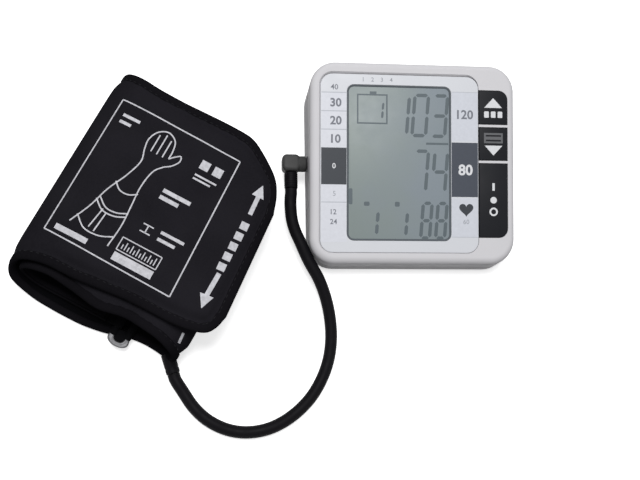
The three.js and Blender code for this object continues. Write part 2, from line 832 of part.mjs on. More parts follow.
// Contact plate standing at y, with a tapered spring towards the cell where the cell's flat end is
function contact(firstCell, lastCell, atFront) {
  const halfHeight = contactWidth / 2;
  const y = atFront ? bayFront + touchGap : bayBack - touchGap - contactThickness;
  const plate = box(cellXs[firstCell] - contactWidth / 2, cellXs[lastCell] + contactWidth / 2,
    y, y + contactThickness, cellZ - halfHeight, cellZ + halfHeight);
  const springs = [];
  for (let i = firstCell; i <= lastCell; i += 1) {
    if (springAtFront(i) === atFront) {
      const cone = new THREE.CylinderGeometry(springTip, springFoot, contactSpring + contactThickness / 2, 14);
      cone.rotateZ(atFront ? 0 : Math.PI);
      const reach = contactSpring / 2 + contactThickness * 0.75;
      cone.translate(cellXs[i], y + contactThickness / 2 + (atFront ? 1 : -1) * (reach - contactThickness / 2), cellZ);
      springs.push(cone);
    }
  }
  return springs.length > 0 ? join(plate, ...springs) : plate;
}

add(body, "contact_front_left", contact(0, 1, true), finishes.nickel);
add(body, "contact_front_right", contact(2, 3, true), finishes.nickel);
add(body, "contact_back_left", contact(0, 0, false), finishes.nickel);
add(body, "contact_back_middle", contact(1, 2, false), finishes.nickel);
add(body, "contact_back_right", contact(3, 3, false), finishes.nickel);

// Air socket through the left wall
const socketMesh = add(body, "air_socket", turned([
  [socketBore, 0],
  [socketRadius, 0],
  [socketRadius, socketProud + wall + touchGap],
  [socketFlangeRadius, socketProud + wall + touchGap],
  [socketFlangeRadius, socketProud + wall + touchGap + socketFlange],
  [socketRadius, socketProud + wall + touchGap + socketFlange],
  [socketRadius, socketLength],
  [socketBore, socketLength],
  [socketBore, 0],
], 20), finishes.darkPlastic);
socketMesh.rotation.y = Math.PI / 2;
socketMesh.position.set(socketFace, portY, portZ);

// Manifold, pump and release valve, joined by short soft tubes
const manifoldLeft = socketEnd + touchGap;
const manifoldRight = manifoldLeft + manifoldWidth;
add(body, "air_manifold", box(manifoldLeft, manifoldRight, portY - manifoldDepth / 2, portY + manifoldDepth / 2,
  floorZ + touchGap, portZ + manifoldRise), finishes.whitePlastic);

const pumpZ = floorZ + pumpRise + pumpRadius;
const pumpBack = caseBack - pumpBackInset;
const motorFront = pumpBack - pumpMotorLength;
const headBack = motorFront - touchGap;
const headFront = headBack - pumpHeadLength;
const motorMesh = add(body, "pump_motor", turned([
  [0, 0],
  [pumpRadius, 0],
  [pumpRadius, pumpMotorLength - pumpEdge],
  [pumpRadius - pumpEdge, pumpMotorLength],
  [0, pumpMotorLength],
], 20), finishes.steel);
motorMesh.rotation.x = -Math.PI / 2;
motorMesh.position.set(pumpX, motorFront, pumpZ);
add(body, "pump_head", box(pumpX - pumpHeadWidth / 2, pumpX + pumpHeadWidth / 2, headFront, headBack,
  pumpZ - pumpHeadWidth / 2, pumpZ + pumpHeadWidth / 2), finishes.darkPlastic);

// Rubber cradle that the motor lies in
function pumpCradle() {
  const half = pumpRadius * 0.8;
  const front = motorFront + cradleInset;
  const blank = box(pumpX - half, pumpX + half, front, front + cradleLength,
    floorZ + touchGap, floorZ + touchGap + cradleHeight);
  const bed = post(0, 0, pumpRadius + touchGap, -cradleLength, cradleLength * 2, 40);
  bed.rotateX(-Math.PI / 2);
  bed.translate(pumpX, front, pumpZ);
  return cut(blank, bed);
}

add(body, "pump_cradle", pumpCradle(), finishes.rubber);
add(body, "release_valve", box(valveX - valveWidth / 2, valveX + valveWidth / 2,
  valveY - valveDepth / 2, valveY + valveDepth / 2, floorZ + touchGap, floorZ + touchGap + valveHeight),
finishes.steel);

const manifoldMiddle = (manifoldLeft + manifoldRight) / 2;
const manifoldBack = portY + manifoldDepth / 2;
const manifoldFront = portY - manifoldDepth / 2;
const valveBack = valveY + valveDepth / 2;
const sensorPoint = new THREE.Vector3(sensorU - sensorWidth / 2 - touchGap, sensorV,
  boardBottom - touchGap - sensorHeight / 2).applyMatrix4(face.matrix);

const backwards = new THREE.Vector3(0, 1, 0);
const forwards = new THREE.Vector3(0, -1, 0);
const rightwards = new THREE.Vector3(1, 0, 0);
const pumpTube = bend(
  new THREE.Vector3(manifoldMiddle, manifoldBack + touchGap, portZ - 2), backwards,
  new THREE.Vector3(pumpX, headFront - touchGap, pumpZ), backwards,
);
const valveTube = bend(
  new THREE.Vector3(manifoldMiddle, manifoldFront - touchGap, portZ - 6), forwards,
  new THREE.Vector3(valveX, valveBack + touchGap, floorZ + touchGap + valveHeight / 2), forwards,
);
const sensorTube = bend(
  new THREE.Vector3(manifoldRight + touchGap, portY, portZ), rightwards, sensorPoint, rightwards,
);
add(body, "tube_to_pump", tube(pumpTube, tubeRadius, tubeBore, 10), finishes.silicone);
add(body, "tube_to_valve", tube(valveTube, tubeRadius, tubeBore, 6), finishes.silicone);
add(body, "tube_to_sensor", tube(sensorTube, tubeRadius, tubeBore, 8), finishes.silicone);

// Elbow plug: a rounded block with a neck and a spigot in the socket
const plugNeckEnd = socketFace - touchGap;
const plugBodyRight = plugNeckEnd - plugNeckLength;
const plugBodyX = plugBodyRight - plugBodyWidth / 2;

function elbowPlug() {
  const edge = plugBodyEdge;
  const shape = panelShape(-plugBodyWidth / 2 + edge, plugBodyWidth / 2 - edge, -plugBodyDepth / 2 + edge,
    plugBodyDepth / 2 - edge, [1, 1, 1, 1]);
  const block = new THREE.ExtrudeGeometry(shape, {
    depth: plugBodyHeight - 2 * edge,
    bevelEnabled: true,
    bevelSize: edge,
    bevelThickness: edge,
    bevelSegments: 3,
    curveSegments: 3,
  });
  block.translate(plugBodyX, portY, portZ - plugBodyHeight / 2 + edge);
  const stem = turned([
    [0, plugBodyX],
    [plugNeckRadius + plugShoulder, plugBodyX],
    [plugNeckRadius + plugShoulder, plugBodyRight + plugNeckLength * 0.3],
    [plugNeckRadius, plugBodyRight + plugNeckLength * 0.45],
    [plugNeckRadius, plugNeckEnd],
    [socketBore - slidingGap, plugNeckEnd],
    [socketBore - slidingGap, plugNeckEnd + spigotLength],
    [0, plugNeckEnd + spigotLength],
  ], 20);
  stem.rotateY(Math.PI / 2);
  stem.translate(0, portY, portZ);
  return join(block, stem);
}

add(root, "elbow_plug", elbowPlug(), finishes.elbow);

const collarBack = portY - plugBodyDepth / 2 - touchGap;
const collarFront = collarBack - collarLength;
const collarMesh = add(root, "plug_collar", post(0, 0, collarRadius, 0, collarLength, 20), finishes.hose);
collarMesh.rotation.x = Math.PI / 2;
collarMesh.position.set(plugBodyX, collarBack, portZ);

// Cuff band: its centre line is a flattened spiral, followed from the free flap inwards

const topZ = cuffHeight - bandMid;
const outerFold = (topZ - bandMid) / 2;
const innerTopZ = topZ - bandThickness - turnGap;
const rightFold = (innerTopZ - bandMid) / 2;
const innerBottomZ = bandMid + bandThickness + turnGap;
const innerFold = (innerTopZ - innerBottomZ) / 2;
const leftCentre = cuffLeft + bandMid + outerFold;
const rightCentre = cuffRight - bandMid - rightFold;

// Stretches of the centre line: straight ones run along x, folds turn half round
const stretches = [
  { run: flapEnd - leftCentre, start: [flapEnd, topZ], heading: -1 },
  { fold: outerFold, centre: [leftCentre, bandMid + outerFold], from: 0.5 },
  { run: rightCentre - leftCentre, start: [leftCentre, bandMid], heading: 1 },
  { fold: rightFold, centre: [rightCentre, bandMid + rightFold], from: 1.5 },
  { run: rightCentre - leftCentre, start: [rightCentre, innerTopZ], heading: -1 },
  { fold: innerFold, centre: [leftCentre, innerBottomZ + innerFold], from: 0.5 },
  { run: innerEndX - leftCentre, start: [leftCentre, innerBottomZ], heading: 1 },
].map((stretch) => ({ ...stretch, length: stretch.run ?? Math.PI * stretch.fold }));
const bandLength = stretches.reduce((sum, stretch) => sum + stretch.length, 0);

// Point and outward normal of the centre line at a distance s from the flap's end
function centreLine(s) {
  let rest = s;
  let place = stretches[0];
  for (const stretch of stretches) {
    place = stretch;
    if (rest <= stretch.length) {
      break;
    }
    rest -= stretch === stretches[stretches.length - 1] ? 0 : stretch.length;
  }
  if (place.run !== undefined) {
    return {
      x: place.start[0] + place.heading * rest,
      z: place.start[1],
      normal: [0, -place.heading],
      along: [place.heading, 0],
    };
  }
  const angle = place.from * Math.PI + rest / place.fold;
  return {
    x: place.centre[0] + place.fold * Math.cos(angle),
    z: place.centre[1] + place.fold * Math.sin(angle),
    normal: [Math.cos(angle), Math.sin(angle)],
    along: [-Math.sin(angle), Math.cos(angle)],
  };
}

// Place along the arm of an edge at a path length, between the points of its list
function edgeAt(edge, s) {
  const next = edge.findIndex(([length]) => length >= s);
  if (next <= 0) {
    return next === 0 ? edge[0][1] : edge[edge.length - 1][1];
  }
  const [s0, y0] = edge[next - 1];
  const [s1, y1] = edge[next];
  const share = (s - s0) / (s1 - s0);
  return THREE.MathUtils.lerp(y0, y1, share);
}

// Edge drawn in towards the middle by a distance square to it; side is 1 at the front and -1 at the back
function insetEdge(edge, side, s, distance) {
  const samples = 12;
  const places = Array.from({ length: samples + 1 }, (_, i) => {
    const shift = distance * ((2 * i) / samples - 1);
    const t = THREE.MathUtils.clamp(s + shift, 0, bandLength);
    return side * edgeAt(edge, t) + Math.sqrt(Math.max(0, distance ** 2 - (t - s) ** 2));
  });
  return side * Math.max(...places);
}

// Point of the band at path length s, place y along the arm and offset from the centre line
function bandPoint(s, y, offset) {
  const slant = flapSlant * (y - frontEdge[0][1]) * Math.max(0, 1 - s / flapSlantReach);
  const place = centreLine(s + slant);
  return new THREE.Vector3(place.x + place.normal[0] * offset, y, place.z + place.normal[1] * offset);
}

// Share of the full padding at a distance from the nearest edge of the band
function crown(distance) {
  const share = THREE.MathUtils.clamp(distance / edgeTaper, 0, 1);
  return Math.sin(share * Math.PI / 2);
}

// Share of the bladder's thickness at a path length: none in the flap and in the inner end
function filling(s) {
  const rise = THREE.MathUtils.smoothstep(s, bladderStart - thinning, bladderStart);
  const fall = 1 - THREE.MathUtils.smoothstep(s, bladderEnd, bladderEnd + thinning);
  return rise * fall;
}

function edgeDistance(s, y, front, back) {
  return Math.min(y - front, back - y, s - bindingReach, bandLength - bindingReach - s);
}

function clothInside(s, y, front, back) {
  const share = crown(Math.max(0, edgeDistance(s, y, front, back)));
  return touchGap / 2 + (bladderThickness / 2 + touchGap / 2) * share;
}

// Path lengths of the band's rows: close together at the flap's end and round the folds
function bandRows(from, to) {
  const fixed = [from, to, bladderStart - thinning, bladderStart, bladderEnd, bladderEnd + thinning];
  const rows = new Set([...fixed, ...flapRounding]);
  let start = 0;
  stretches.forEach((stretch) => {
    const steps = stretch.run === undefined ? 8 : 5;
    for (let i = 0; i <= steps; i += 1) {
      rows.add(start + (stretch.length * i) / steps);
    }
    start += stretch.length;
  });
  const sorted = [...rows].filter((s) => s >= from && s <= to).sort((a, b) => a - b);
  return sorted.filter((s) => fixed.includes(s) || fixed.every((row) => Math.abs(row - s) > rowSpacing));
}

// One layer of the band between two offset rules, closed all round; shares of the taper place its columns
function bandLayer(from, to, margin, shares, outer, inner) {
  const rows = bandRows(from, to);
  const rings = rows.map((s) => {
    const front = insetEdge(frontEdge, 1, s, margin);
    const back = insetEdge(backEdge, -1, s, margin);
    const inwards = shares.map((share) => share * edgeTaper);
    const ys = [
      ...inwards.map((distance) => front + distance),
      (front + back) / 2,
      ...inwards.slice().reverse().map((distance) => back - distance),
    ];
    const upper = ys.map((y) => bandPoint(s, y, outer(s, y, front, back)));
    const lower = ys.map((y) => bandPoint(s, y, inner(s, y, front, back))).reverse();
    return [...upper, ...lower];
  });
  return stripSolid(rings, 2 * shares.length + 1);
}

// Solid through flat rings made of an upper and a lower row of columns, with strip caps
function stripSolid(rings, columns) {
  const count = 2 * columns;
  const positions = [];
  const index = [];
  rings.forEach((ring) => ring.forEach((point) => positions.push(point.x, point.y, point.z)));
  for (let i = 0; i < rings.length - 1; i += 1) {
    for (let j = 0; j < count; j += 1) {
      const a = i * count + j;
      const b = i * count + (j + 1) % count;
      // Both faces of a layer are split along the same diagonals, so that layers nest
      index.push(...(j < columns
        ? [a, b, b + count, a, b + count, a + count]
        : [a, b, a + count, b, b + count, a + count]));
    }
  }
  const last = (rings.length - 1) * count;
  for (let j = 0; j < columns - 1; j += 1) {
    const low = count - 1 - j;
    index.push(j, low, j + 1, j + 1, low, low - 1);
    index.push(last + j, last + j + 1, last + low, last + j + 1, last + low - 1, last + low);
  }
  return indexed(positions, index);
}

const clothShares = [0, 0.28, 0.6, 1];
const clothStart = bindingReach;
const clothEnd = bandLength - bindingReach;

add(cuff, "cuff_outer_cloth", bandLayer(clothStart, clothEnd, bindingReach, clothShares,
  (...at) => clothInside(...at) + clothThickness, clothInside), finishes.cloth);

function liningOutside(s, y, front, back) {
  const inside = clothInside(s, y, front, back);
  return THREE.MathUtils.lerp(inside - touchGap, -inside, filling(s));
}

add(cuff, "cuff_lining", bandLayer(clothStart, clothEnd, bindingReach, clothShares,
  liningOutside, (...at) => liningOutside(...at) - clothThickness), finishes.lining);

add(cuff, "cuff_bladder", bandLayer(bladderStart, bladderEnd, bindingReach + bladderMargin,
  [0, 0.7], () => bladderThickness / 2, () => -bladderThickness / 2), finishes.bladder);

// Edge binding: one endless tape round the whole band
function edgeBinding() {
  const rows = bandRows(0, bandLength);
  const inset = bindingWidth / 2;
  const loop = [
    ...rows.map((s) => [s, edgeAt(frontEdge, s)]),
    ...rows.slice().reverse().map((s) => [s, edgeAt(backEdge, s)]),
  ];
  const rings = loop.map(([s, y], i) => {
    const before = loop[(i - 1 + loop.length) % loop.length];
    const after = loop[(i + 1) % loop.length];
    const along = new THREE.Vector2(after[0] - before[0], after[1] - before[1]).normalize();
    const inwards = new THREE.Vector2(-along.y, along.x);
    return [[-1, 0], [-0.6, 1], [0.9, 1], [0.9, -1], [-0.6, -1]].map(([across, up]) => {
      const reach = inset * (1 + across);
      const section = up * bindingThickness / 2;
      return bandPoint(
        THREE.MathUtils.clamp(s + inwards.x * reach, 0, bandLength), y + inwards.y * reach, section);
    });
  });
  return loopLoft(rings);
}

add(cuff, "cuff_binding", edgeBinding(), finishes.cloth);

// Hook patch under the flap, and the loop patch that it closes on
const flapUnder = topZ + bandMid - 2 * clothThickness - 2 * touchGap;
const hookRight = flapEnd - hookStart;
add(cuff, "hook_patch", box(hookRight - hookLength, hookRight, hookFront, hookBack,
  flapUnder - hookThickness, flapUnder), finishes.lining);
const loopZ = innerTopZ + bandMid + touchGap;
const loopRight = rightCentre;
add(cuff, "loop_patch", box(loopRight - loopLength, loopRight, hookFront - loopMargin, hookBack + loopMargin,
  loopZ, loopZ + loopThickness), finishes.lining);

// Steel ring, its long bar held in a sewn tab at the band's inner end
const wireRadius = ringWire / 2;
const tabRadius = wireRadius + touchGap + clothThickness;
const barX = ringX - (ringWidth - ringWire) / 2;
const barZ = bandThickness + touchGap + tabRadius;
const freeBarZ = bandThickness + touchGap + wireRadius;
const ringDroop = Math.asin((barZ - freeBarZ) / (ringWidth - ringWire));

function pullRing() {
  const width = ringWidth - ringWire;
  const length = ringLength - ringWire;
  const corner = Math.min(ringCorner, width / 2) - wireRadius * 0.2;
  const outline = panelShape(0, width, -length / 2, length / 2, [corner, corner, corner, corner]);
  const points = outline.extractPoints(4).shape;
  const loop = points.filter((point, i) => point.distanceTo(points[(i + 1) % points.length]) > 1e-4);
  const sides = 8;
  return loopLoft(loop.map((point, i) => {
    const before = loop[(i - 1 + loop.length) % loop.length];
    const after = loop[(i + 1) % loop.length];
    const along = new THREE.Vector2().subVectors(after, before).normalize();
    return Array.from({ length: sides }, (_, k) => {
      const angle = (2 * Math.PI * (k + 0.5)) / sides;
      const across = wireRadius * Math.cos(angle);
      return new THREE.Vector3(point.x - along.y * across, point.y + along.x * across, wireRadius * Math.sin(angle));
    });
  }));
}

const ringMesh = add(cuff, "pull_ring", pullRing(), finishes.steel);
ringMesh.position.set(barX, ringY, barZ);
ringMesh.rotation.y = ringDroop;

function ringTab() {
  const low = barZ - tabRadius;
  const along = (geometry) => geometry.rotateX(Math.PI / 2).translate(barX, ringY, barZ);
  const loop = along(post(0, 0, tabRadius, -tabLength / 2, tabLength / 2, 16));
  const tongue = box(innerEndX + touchGap, barX, ringY - tabLength / 2, ringY + tabLength / 2,
    low + 0.2, low + 0.2 + 2 * clothThickness);
  const bore = along(post(0, 0, wireRadius + touchGap, -tabLength, tabLength, 16));
  return cut(join(loop, tongue), bore);
}

add(cuff, "ring_tab", ringTab(), finishes.cloth);

// Rubber boot where the hose goes into the cuff, cut to the slant of the cuff's edge
const bootDirection = new THREE.Vector3(Math.cos(bootHeading), Math.sin(bootHeading), 0);
const bootEdge = edgeAt(frontEdge, bootSeat);
const bootTip = bandPoint(bootSeat, bootEdge, 0).applyMatrix4(cuff.matrix);
const bootStart = bootTip.clone().addScaledVector(bootDirection, -bootLength);

function hoseBoot() {
  const blank = post(0, 0, bootRadius, 0, bootLength + 2 * bootRadius, 18);
  const turn = new THREE.Quaternion().setFromUnitVectors(new THREE.Vector3(0, 0, 1), bootDirection);
  blank.applyQuaternion(turn);
  blank.translate(bootStart.x, bootStart.y, bootStart.z);
  blank.applyMatrix4(cuff.matrix.clone().invert());
  const cuffSide = box(cuffLeft, flapEnd + 20, bootEdge - touchGap, 0, -20, cuffHeight);
  return cut(blank, cuffSide);
}

add(cuff, "hose_boot", hoseBoot(), finishes.rubber);

// Air hose from the collar to the cuff's boot
const hosePoints = [
  new THREE.Vector3(plugBodyX, collarFront - touchGap, portZ),
  new THREE.Vector3(plugBodyX, collarFront - touchGap - hoseLead, portZ),
  ...hoseRoute.map((point) => new THREE.Vector3(...point)),
  bootStart.clone().addScaledVector(bootDirection, -touchGap - hoseLead),
  bootStart.clone().addScaledVector(bootDirection, -touchGap),
];
const hoseCurve = new THREE.CatmullRomCurve3(hosePoints, false, "centripetal");
add(root, "air_hose", tube(hoseCurve, hoseRadius, 0, hoseSteps, hoseSides), finishes.hose);

// The origin is under the middle of the object's own pieces, so what belongs to the loose hose isn't counted
const hosePieces = ["elbow_plug", "plug_collar", "air_hose"];
root.updateMatrixWorld(true);
const extent = new THREE.Box3();
root.traverse((item) => {
  if (item.isMesh && !hosePieces.includes(item.name)) {
    extent.expandByObject(item, true);
  }
});
const middle = extent.getCenter(new THREE.Vector3());
root.position.set(-middle.x, -middle.y, -extent.min.z);
root.updateMatrixWorld(true);

export default root;
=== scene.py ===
# Looks of the upper-arm blood pressure monitor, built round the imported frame
import math
from bisect import bisect_left
from itertools import accumulate

import bmesh
import bpy
import numpy as np
from mathutils import Matrix, Vector, noise
from mathutils.bvhtree import BVHTree


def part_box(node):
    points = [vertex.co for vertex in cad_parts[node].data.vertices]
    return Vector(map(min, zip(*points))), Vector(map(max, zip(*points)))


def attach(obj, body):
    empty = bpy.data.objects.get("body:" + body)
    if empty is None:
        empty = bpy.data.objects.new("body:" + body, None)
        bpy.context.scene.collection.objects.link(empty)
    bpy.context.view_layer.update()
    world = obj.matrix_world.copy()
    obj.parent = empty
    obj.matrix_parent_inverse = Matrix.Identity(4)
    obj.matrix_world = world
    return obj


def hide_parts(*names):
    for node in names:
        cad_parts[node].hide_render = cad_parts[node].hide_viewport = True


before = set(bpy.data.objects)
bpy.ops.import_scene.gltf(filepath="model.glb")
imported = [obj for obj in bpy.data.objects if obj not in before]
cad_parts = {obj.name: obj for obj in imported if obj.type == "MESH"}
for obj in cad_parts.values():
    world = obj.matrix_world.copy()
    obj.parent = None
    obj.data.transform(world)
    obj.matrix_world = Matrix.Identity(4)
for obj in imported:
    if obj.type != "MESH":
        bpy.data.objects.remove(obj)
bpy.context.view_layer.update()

# Places: millimetres on the table, on the tilted face and on the cuff, each turned into metres
MM = 0.001
CASE_WIDTH = 137.2
CASE_DEPTH = 130.7
CASE_FRONT = -CASE_DEPTH / 2
FRONT_HEIGHT = 25
FACE_TILT = math.radians(9.6)
CUFF_TURN = math.radians(-28.5)
low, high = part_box("lower_shell")
TABLE = Matrix.Scale(MM, 4) @ Matrix.Translation(((low.x + high.x) / 2 / MM, (low.y + high.y) / 2 / MM, 0))
ON_FACE = Matrix.Translation((0, CASE_FRONT, FRONT_HEIGHT)) @ Matrix.Rotation(FACE_TILT, 4, "X")
FACE = TABLE @ ON_FACE
CUFF = TABLE @ Matrix.Translation((-167.6, -43.8, 0)) @ Matrix.Rotation(CUFF_TURN, 4, "Z")


# Blender helpers
def assign(target, **values):
    for key, value in values.items():
        setattr(target, key, value)
    return target


def linked(name, data):
    """A new object that is in the scene."""
    obj = bpy.data.objects.new(name, data)
    bpy.context.scene.collection.objects.link(obj)
    return obj


def add_node(tree, kind, *sources, **values):
    """A new shader node: values go to its inputs or to itself, sources are linked to its first inputs."""
    node = tree.nodes.new(kind)
    for key, value in values.items():
        if key in node.inputs:
            node.inputs[key].default_value = value
        else:
            setattr(node, key, value)
    for source, target in zip(sources, node.inputs):
        tree.links.new(source, target)
    return node


# Camera, its place and axes fitted to the photograph
CAMERA_PLACE = Vector((-133.78, -177.03, 624.88))
CAMERA_BACK = Vector((-0.11693, -0.20556, 0.97163))
CAMERA_RIGHT = Vector((0.99311, -0.01704, 0.11591))


def make_camera():
    camera = linked("camera", bpy.data.cameras.new("camera"))
    assign(camera.data, sensor_width=36, lens=53.44, clip_start=0.01, clip_end=20)
    back = CAMERA_BACK.normalized()
    up = back.cross(CAMERA_RIGHT).normalized()
    turn = Matrix((up.cross(back).normalized(), up, back)).transposed().to_4x4()
    camera.matrix_world = Matrix.Translation(TABLE @ CAMERA_PLACE) @ turn
    bpy.context.scene.camera = camera


make_camera()


# Materials
def shade(colour, factor=1.0):
    """An sRGB colour in linear values, darker or lighter by the factor."""
    values = [channel / 255 for channel in colour]
    linear = [c / 12.92 if c <= 0.04045 else ((c + 0.055) / 1.055) ** 2.4 for c in values]
    return tuple(min(1.0, channel * factor) for channel in linear) + (1.0,)


class Look:
    """A procedural material: its shader's inputs and a few helpers to wire its textures."""

    def __init__(self, name, roughness, specular=0.5, metallic=0.0):
        self.material = bpy.data.materials.new(name)
        self.material.use_nodes = True
        self.tree = self.material.node_tree
        self.inputs = self.tree.nodes["Principled BSDF"].inputs
        self.put({"Roughness": roughness, "Specular IOR Level": specular, "Metallic": metallic})
        self.place = self.node("ShaderNodeTexCoord").outputs["Object"]

    def put(self, values):
        for key, value in values.items():
            self.inputs[key].default_value = value

    def node(self, kind, *sources, **values):
        return add_node(self.tree, kind, *sources, **values)

    def link(self, source, target):
        self.tree.links.new(source, target)

    def noise(self, size, detail=2.0, stretch=None):
        """Noise whose grains are about size metres across."""
        place = self.place
        if stretch:
            place = self.node("ShaderNodeMapping", place, Scale=stretch).outputs[0]
        return self.node("ShaderNodeTexNoise", place, Scale=1.0 / size, Detail=detail).outputs["Fac"]

    def ramp(self, source, low_value, high_value, start=0.3, end=0.7):
        """A number from low_value to high_value as the source goes from start to end."""
        node = self.node("ShaderNodeMapRange", source)
        for index, value in enumerate((start, end, low_value, high_value), 1):
            node.inputs[index].default_value = value
        return node.outputs[0]

    def mix(self, factor, first, second):
        """A blend of two colours, each plain or another node's output."""
        node = self.node("ShaderNodeMix", factor, data_type="RGBA")
        for value, target in zip((first, second), node.inputs[6:8]):
            if isinstance(value, tuple):
                target.default_value = value
            else:
                self.link(value, target)
        return node.outputs[2]

    def colour(self, source):
        self.link(source, self.inputs["Base Color"])

    def patches(self, colour, amount, size):
        """Base colour with soft patches that are a little lighter and darker."""
        factor = self.ramp(self.noise(size, 3.0), 0.0, 1.0)
        self.colour(self.mix(factor, shade(colour, 1 - amount), shade(colour, 1 + amount)))

    def roughness(self, source, low_value, high_value):
        self.link(self.ramp(source, low_value, high_value), self.inputs["Roughness"])

    def bump(self, source, distance, strength):
        node = self.node("ShaderNodeBump", Strength=strength, Distance=distance)
        self.link(source, node.inputs["Height"])
        normal = self.inputs["Normal"]
        if normal.is_linked:
            self.link(normal.links[0].from_socket, node.inputs["Normal"])
        self.link(node.outputs["Normal"], normal)


def plain(name, colour, roughness, specular, patches, drift, grain):
    """Patches: amount and size; drift: size and how far down and up; grain: size, depth and strength."""
    look = Look(name, roughness, specular)
    look.patches(colour, *patches)
    if drift:
        look.roughness(look.noise(drift[0]), roughness - drift[1], roughness + drift[2])
    look.bump(look.noise(grain[0]), *grain[1:])
    return look.material


def moulded(name, colour, roughness, grain=0.0006, depth=2e-5, amount=0.02, specular=0.4):
    """Moulded plastic: a fine spark-eroded grain, faint colour patches, roughness that drifts a little."""
    return plain(name, colour, roughness, specular, (amount, 0.03), (0.012, 0.04, 0.05), (grain, depth, 0.5))


def rubber(name, colour, roughness, amount=0.1, specular=0.3):
    return plain(name, colour, roughness, specular, (amount, 0.015), (0.006, 0.06, 0.08),
                 (0.0009, 2e-5, 0.4))


def printed(name, colour, roughness=0.5, wear=0.03, specular=0.25):
    """Screen-printed ink with a slight tooth."""
    return plain(name, colour, roughness, specular, (wear, 0.002), None, (0.0004, 1e-5, 0.3))


def metal(name, colour, roughness, stretch=(1, 1, 1)):
    """Bare metal with faint drawing marks."""
    look = Look(name, roughness, metallic=1.0)
    look.patches(colour, 0.05, 0.004)
    marks = look.noise(0.0004, stretch=stretch)
    look.roughness(marks, roughness - 0.05, roughness + 0.08)
    look.bump(marks, 4e-6, 0.4)
    return look.material


def woven(name, colour, thread=0.7, rough=0.82, sheen=0.03, fuzz=0.0):
    """Cloth: over and under threads along and across the band, with lint and rubbed patches."""
    look = Look(name, rough, 0.0)
    look.put({"Sheen Weight": sheen, "Sheen Roughness": 0.4, "Sheen Tint": (0.5, 0.5, 0.55, 1)})
    band = look.node("ShaderNodeAttribute", attribute_name="band").outputs["Vector"]
    waves = [
        look.node("ShaderNodeTexWave", band, bands_direction=direction, Distortion=0.6, Scale=0.314 / thread,
                  **{"Detail Scale": 2.0}).outputs["Fac"]
        for direction in ("X", "Y")
    ]
    lint = look.noise(0.0012, 4.0)
    patches = look.noise(0.035, 3.0)
    base = look.mix(look.ramp(patches, 0.0, 1.0), shade(colour, 0.85), shade(colour, 1.18))
    look.colour(look.mix(look.ramp(lint, 0.0, 0.3), base, shade(colour, 1.5)))
    look.roughness(patches, rough - 0.08, rough + 0.08)
    look.bump(look.node("ShaderNodeMath", *waves, operation="MULTIPLY").outputs[0], 0.00012, 0.35)
    look.bump(lint, 0.0001 + fuzz, 0.3)
    return look.material


def liquid_crystal():
    """The display's grey layer: greener on the left, bluer on the right, faintly mottled."""
    look = Look("liquid_crystal", 0.28, 0.3)
    left, right = (corner.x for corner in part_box("display_window"))
    across = look.ramp(look.node("ShaderNodeSeparateXYZ", look.place).outputs["X"], 0.0, 1.0, left, right)
    mottle = look.ramp(look.noise(0.03), -0.25, 0.25)
    drift = look.node("ShaderNodeMath", across, mottle, operation="ADD", use_clamp=True)
    tint = look.mix(drift.outputs[0], shade((129, 139, 137)), shade((129, 138, 145)))
    look.colour(look.mix(look.ramp(look.noise(0.0025, 3.0), 0.0, 0.08), tint, shade((120, 130, 132))))
    look.roughness(look.noise(0.01), 0.38, 0.46)
    return look.material


SHELL = moulded("shell_plastic", (204, 203, 206), 0.52, amount=0.012, specular=0.07)
# Base plastic: the shell's plastic made darker, as painted shade on the case's lower walls
BASE_PLASTIC_PAINTED_SHADE = moulded("base_plastic_painted_shade", (188, 187, 190), 0.55, grain=0.0009, depth=3e-5, amount=0.015, specular=0.07)
PLATE = moulded("plate_plastic", (202, 204, 209), 0.4, grain=0.0004, depth=8e-6, amount=0.012)
KEY = moulded("key_plastic", (25, 26, 30), 0.45, grain=0.0005, depth=1e-5, amount=0.08, specular=0.1)
ELBOW = moulded("elbow_plastic", (59, 59, 59), 0.55, grain=0.0008, depth=4e-5, amount=0.06, specular=0.2)
DARK = moulded("dark_plastic", (58, 58, 62), 0.5, amount=0.06, specular=0.3)
WHITE = moulded("white_plastic", (222, 222, 222), 0.45)
BOARD = moulded("board_lacquer", (31, 92, 60), 0.4, amount=0.1)
CHIP = moulded("chip_resin", (22, 22, 24), 0.45, amount=0.08)
CELL = moulded("cell_sleeve", (52, 54, 60), 0.3, amount=0.05)
STEEL = metal("zinc_steel", (185, 187, 190), 0.3)
NICKEL = metal("nickel", (200, 198, 190), 0.28)
WIRE = metal("ring_steel", (98, 98, 100), 0.48, (1, 1, 0.2))
RUBBER = rubber("foot_rubber", (17, 17, 18), 0.7, specular=0.1)
HOSE = rubber("hose_rubber", (16, 15, 18), 0.55, specular=0.06)
SILICONE = rubber("silicone", (214, 210, 200), 0.5, 0.03)
CLOTH = woven("cuff_cloth", (30, 29, 33))
LINING = woven("cuff_lining_cloth", (12, 12, 14), 1.0, 0.9, 0.02)
PILE = woven("loop_pile", (20, 20, 22), 1.4, 0.95, 0.05, 0.0003)
# Hem cloth: the cover's cloth made darker, as painted shade on the cuff's edges and folds
HEM_CLOTH_PAINTED_SHADE = woven("hem_cloth_painted_shade", (20, 19, 22), sheen=0.02)
TAPE = woven("tab_webbing", (17, 17, 19), 0.9, 0.8, 0.03)
THREAD = rubber("sewing_thread", (30, 30, 33), 0.75, specular=0.1)
LCD = liquid_crystal()
SEGMENT = printed("display_segment", (86, 96, 101), 0.35)
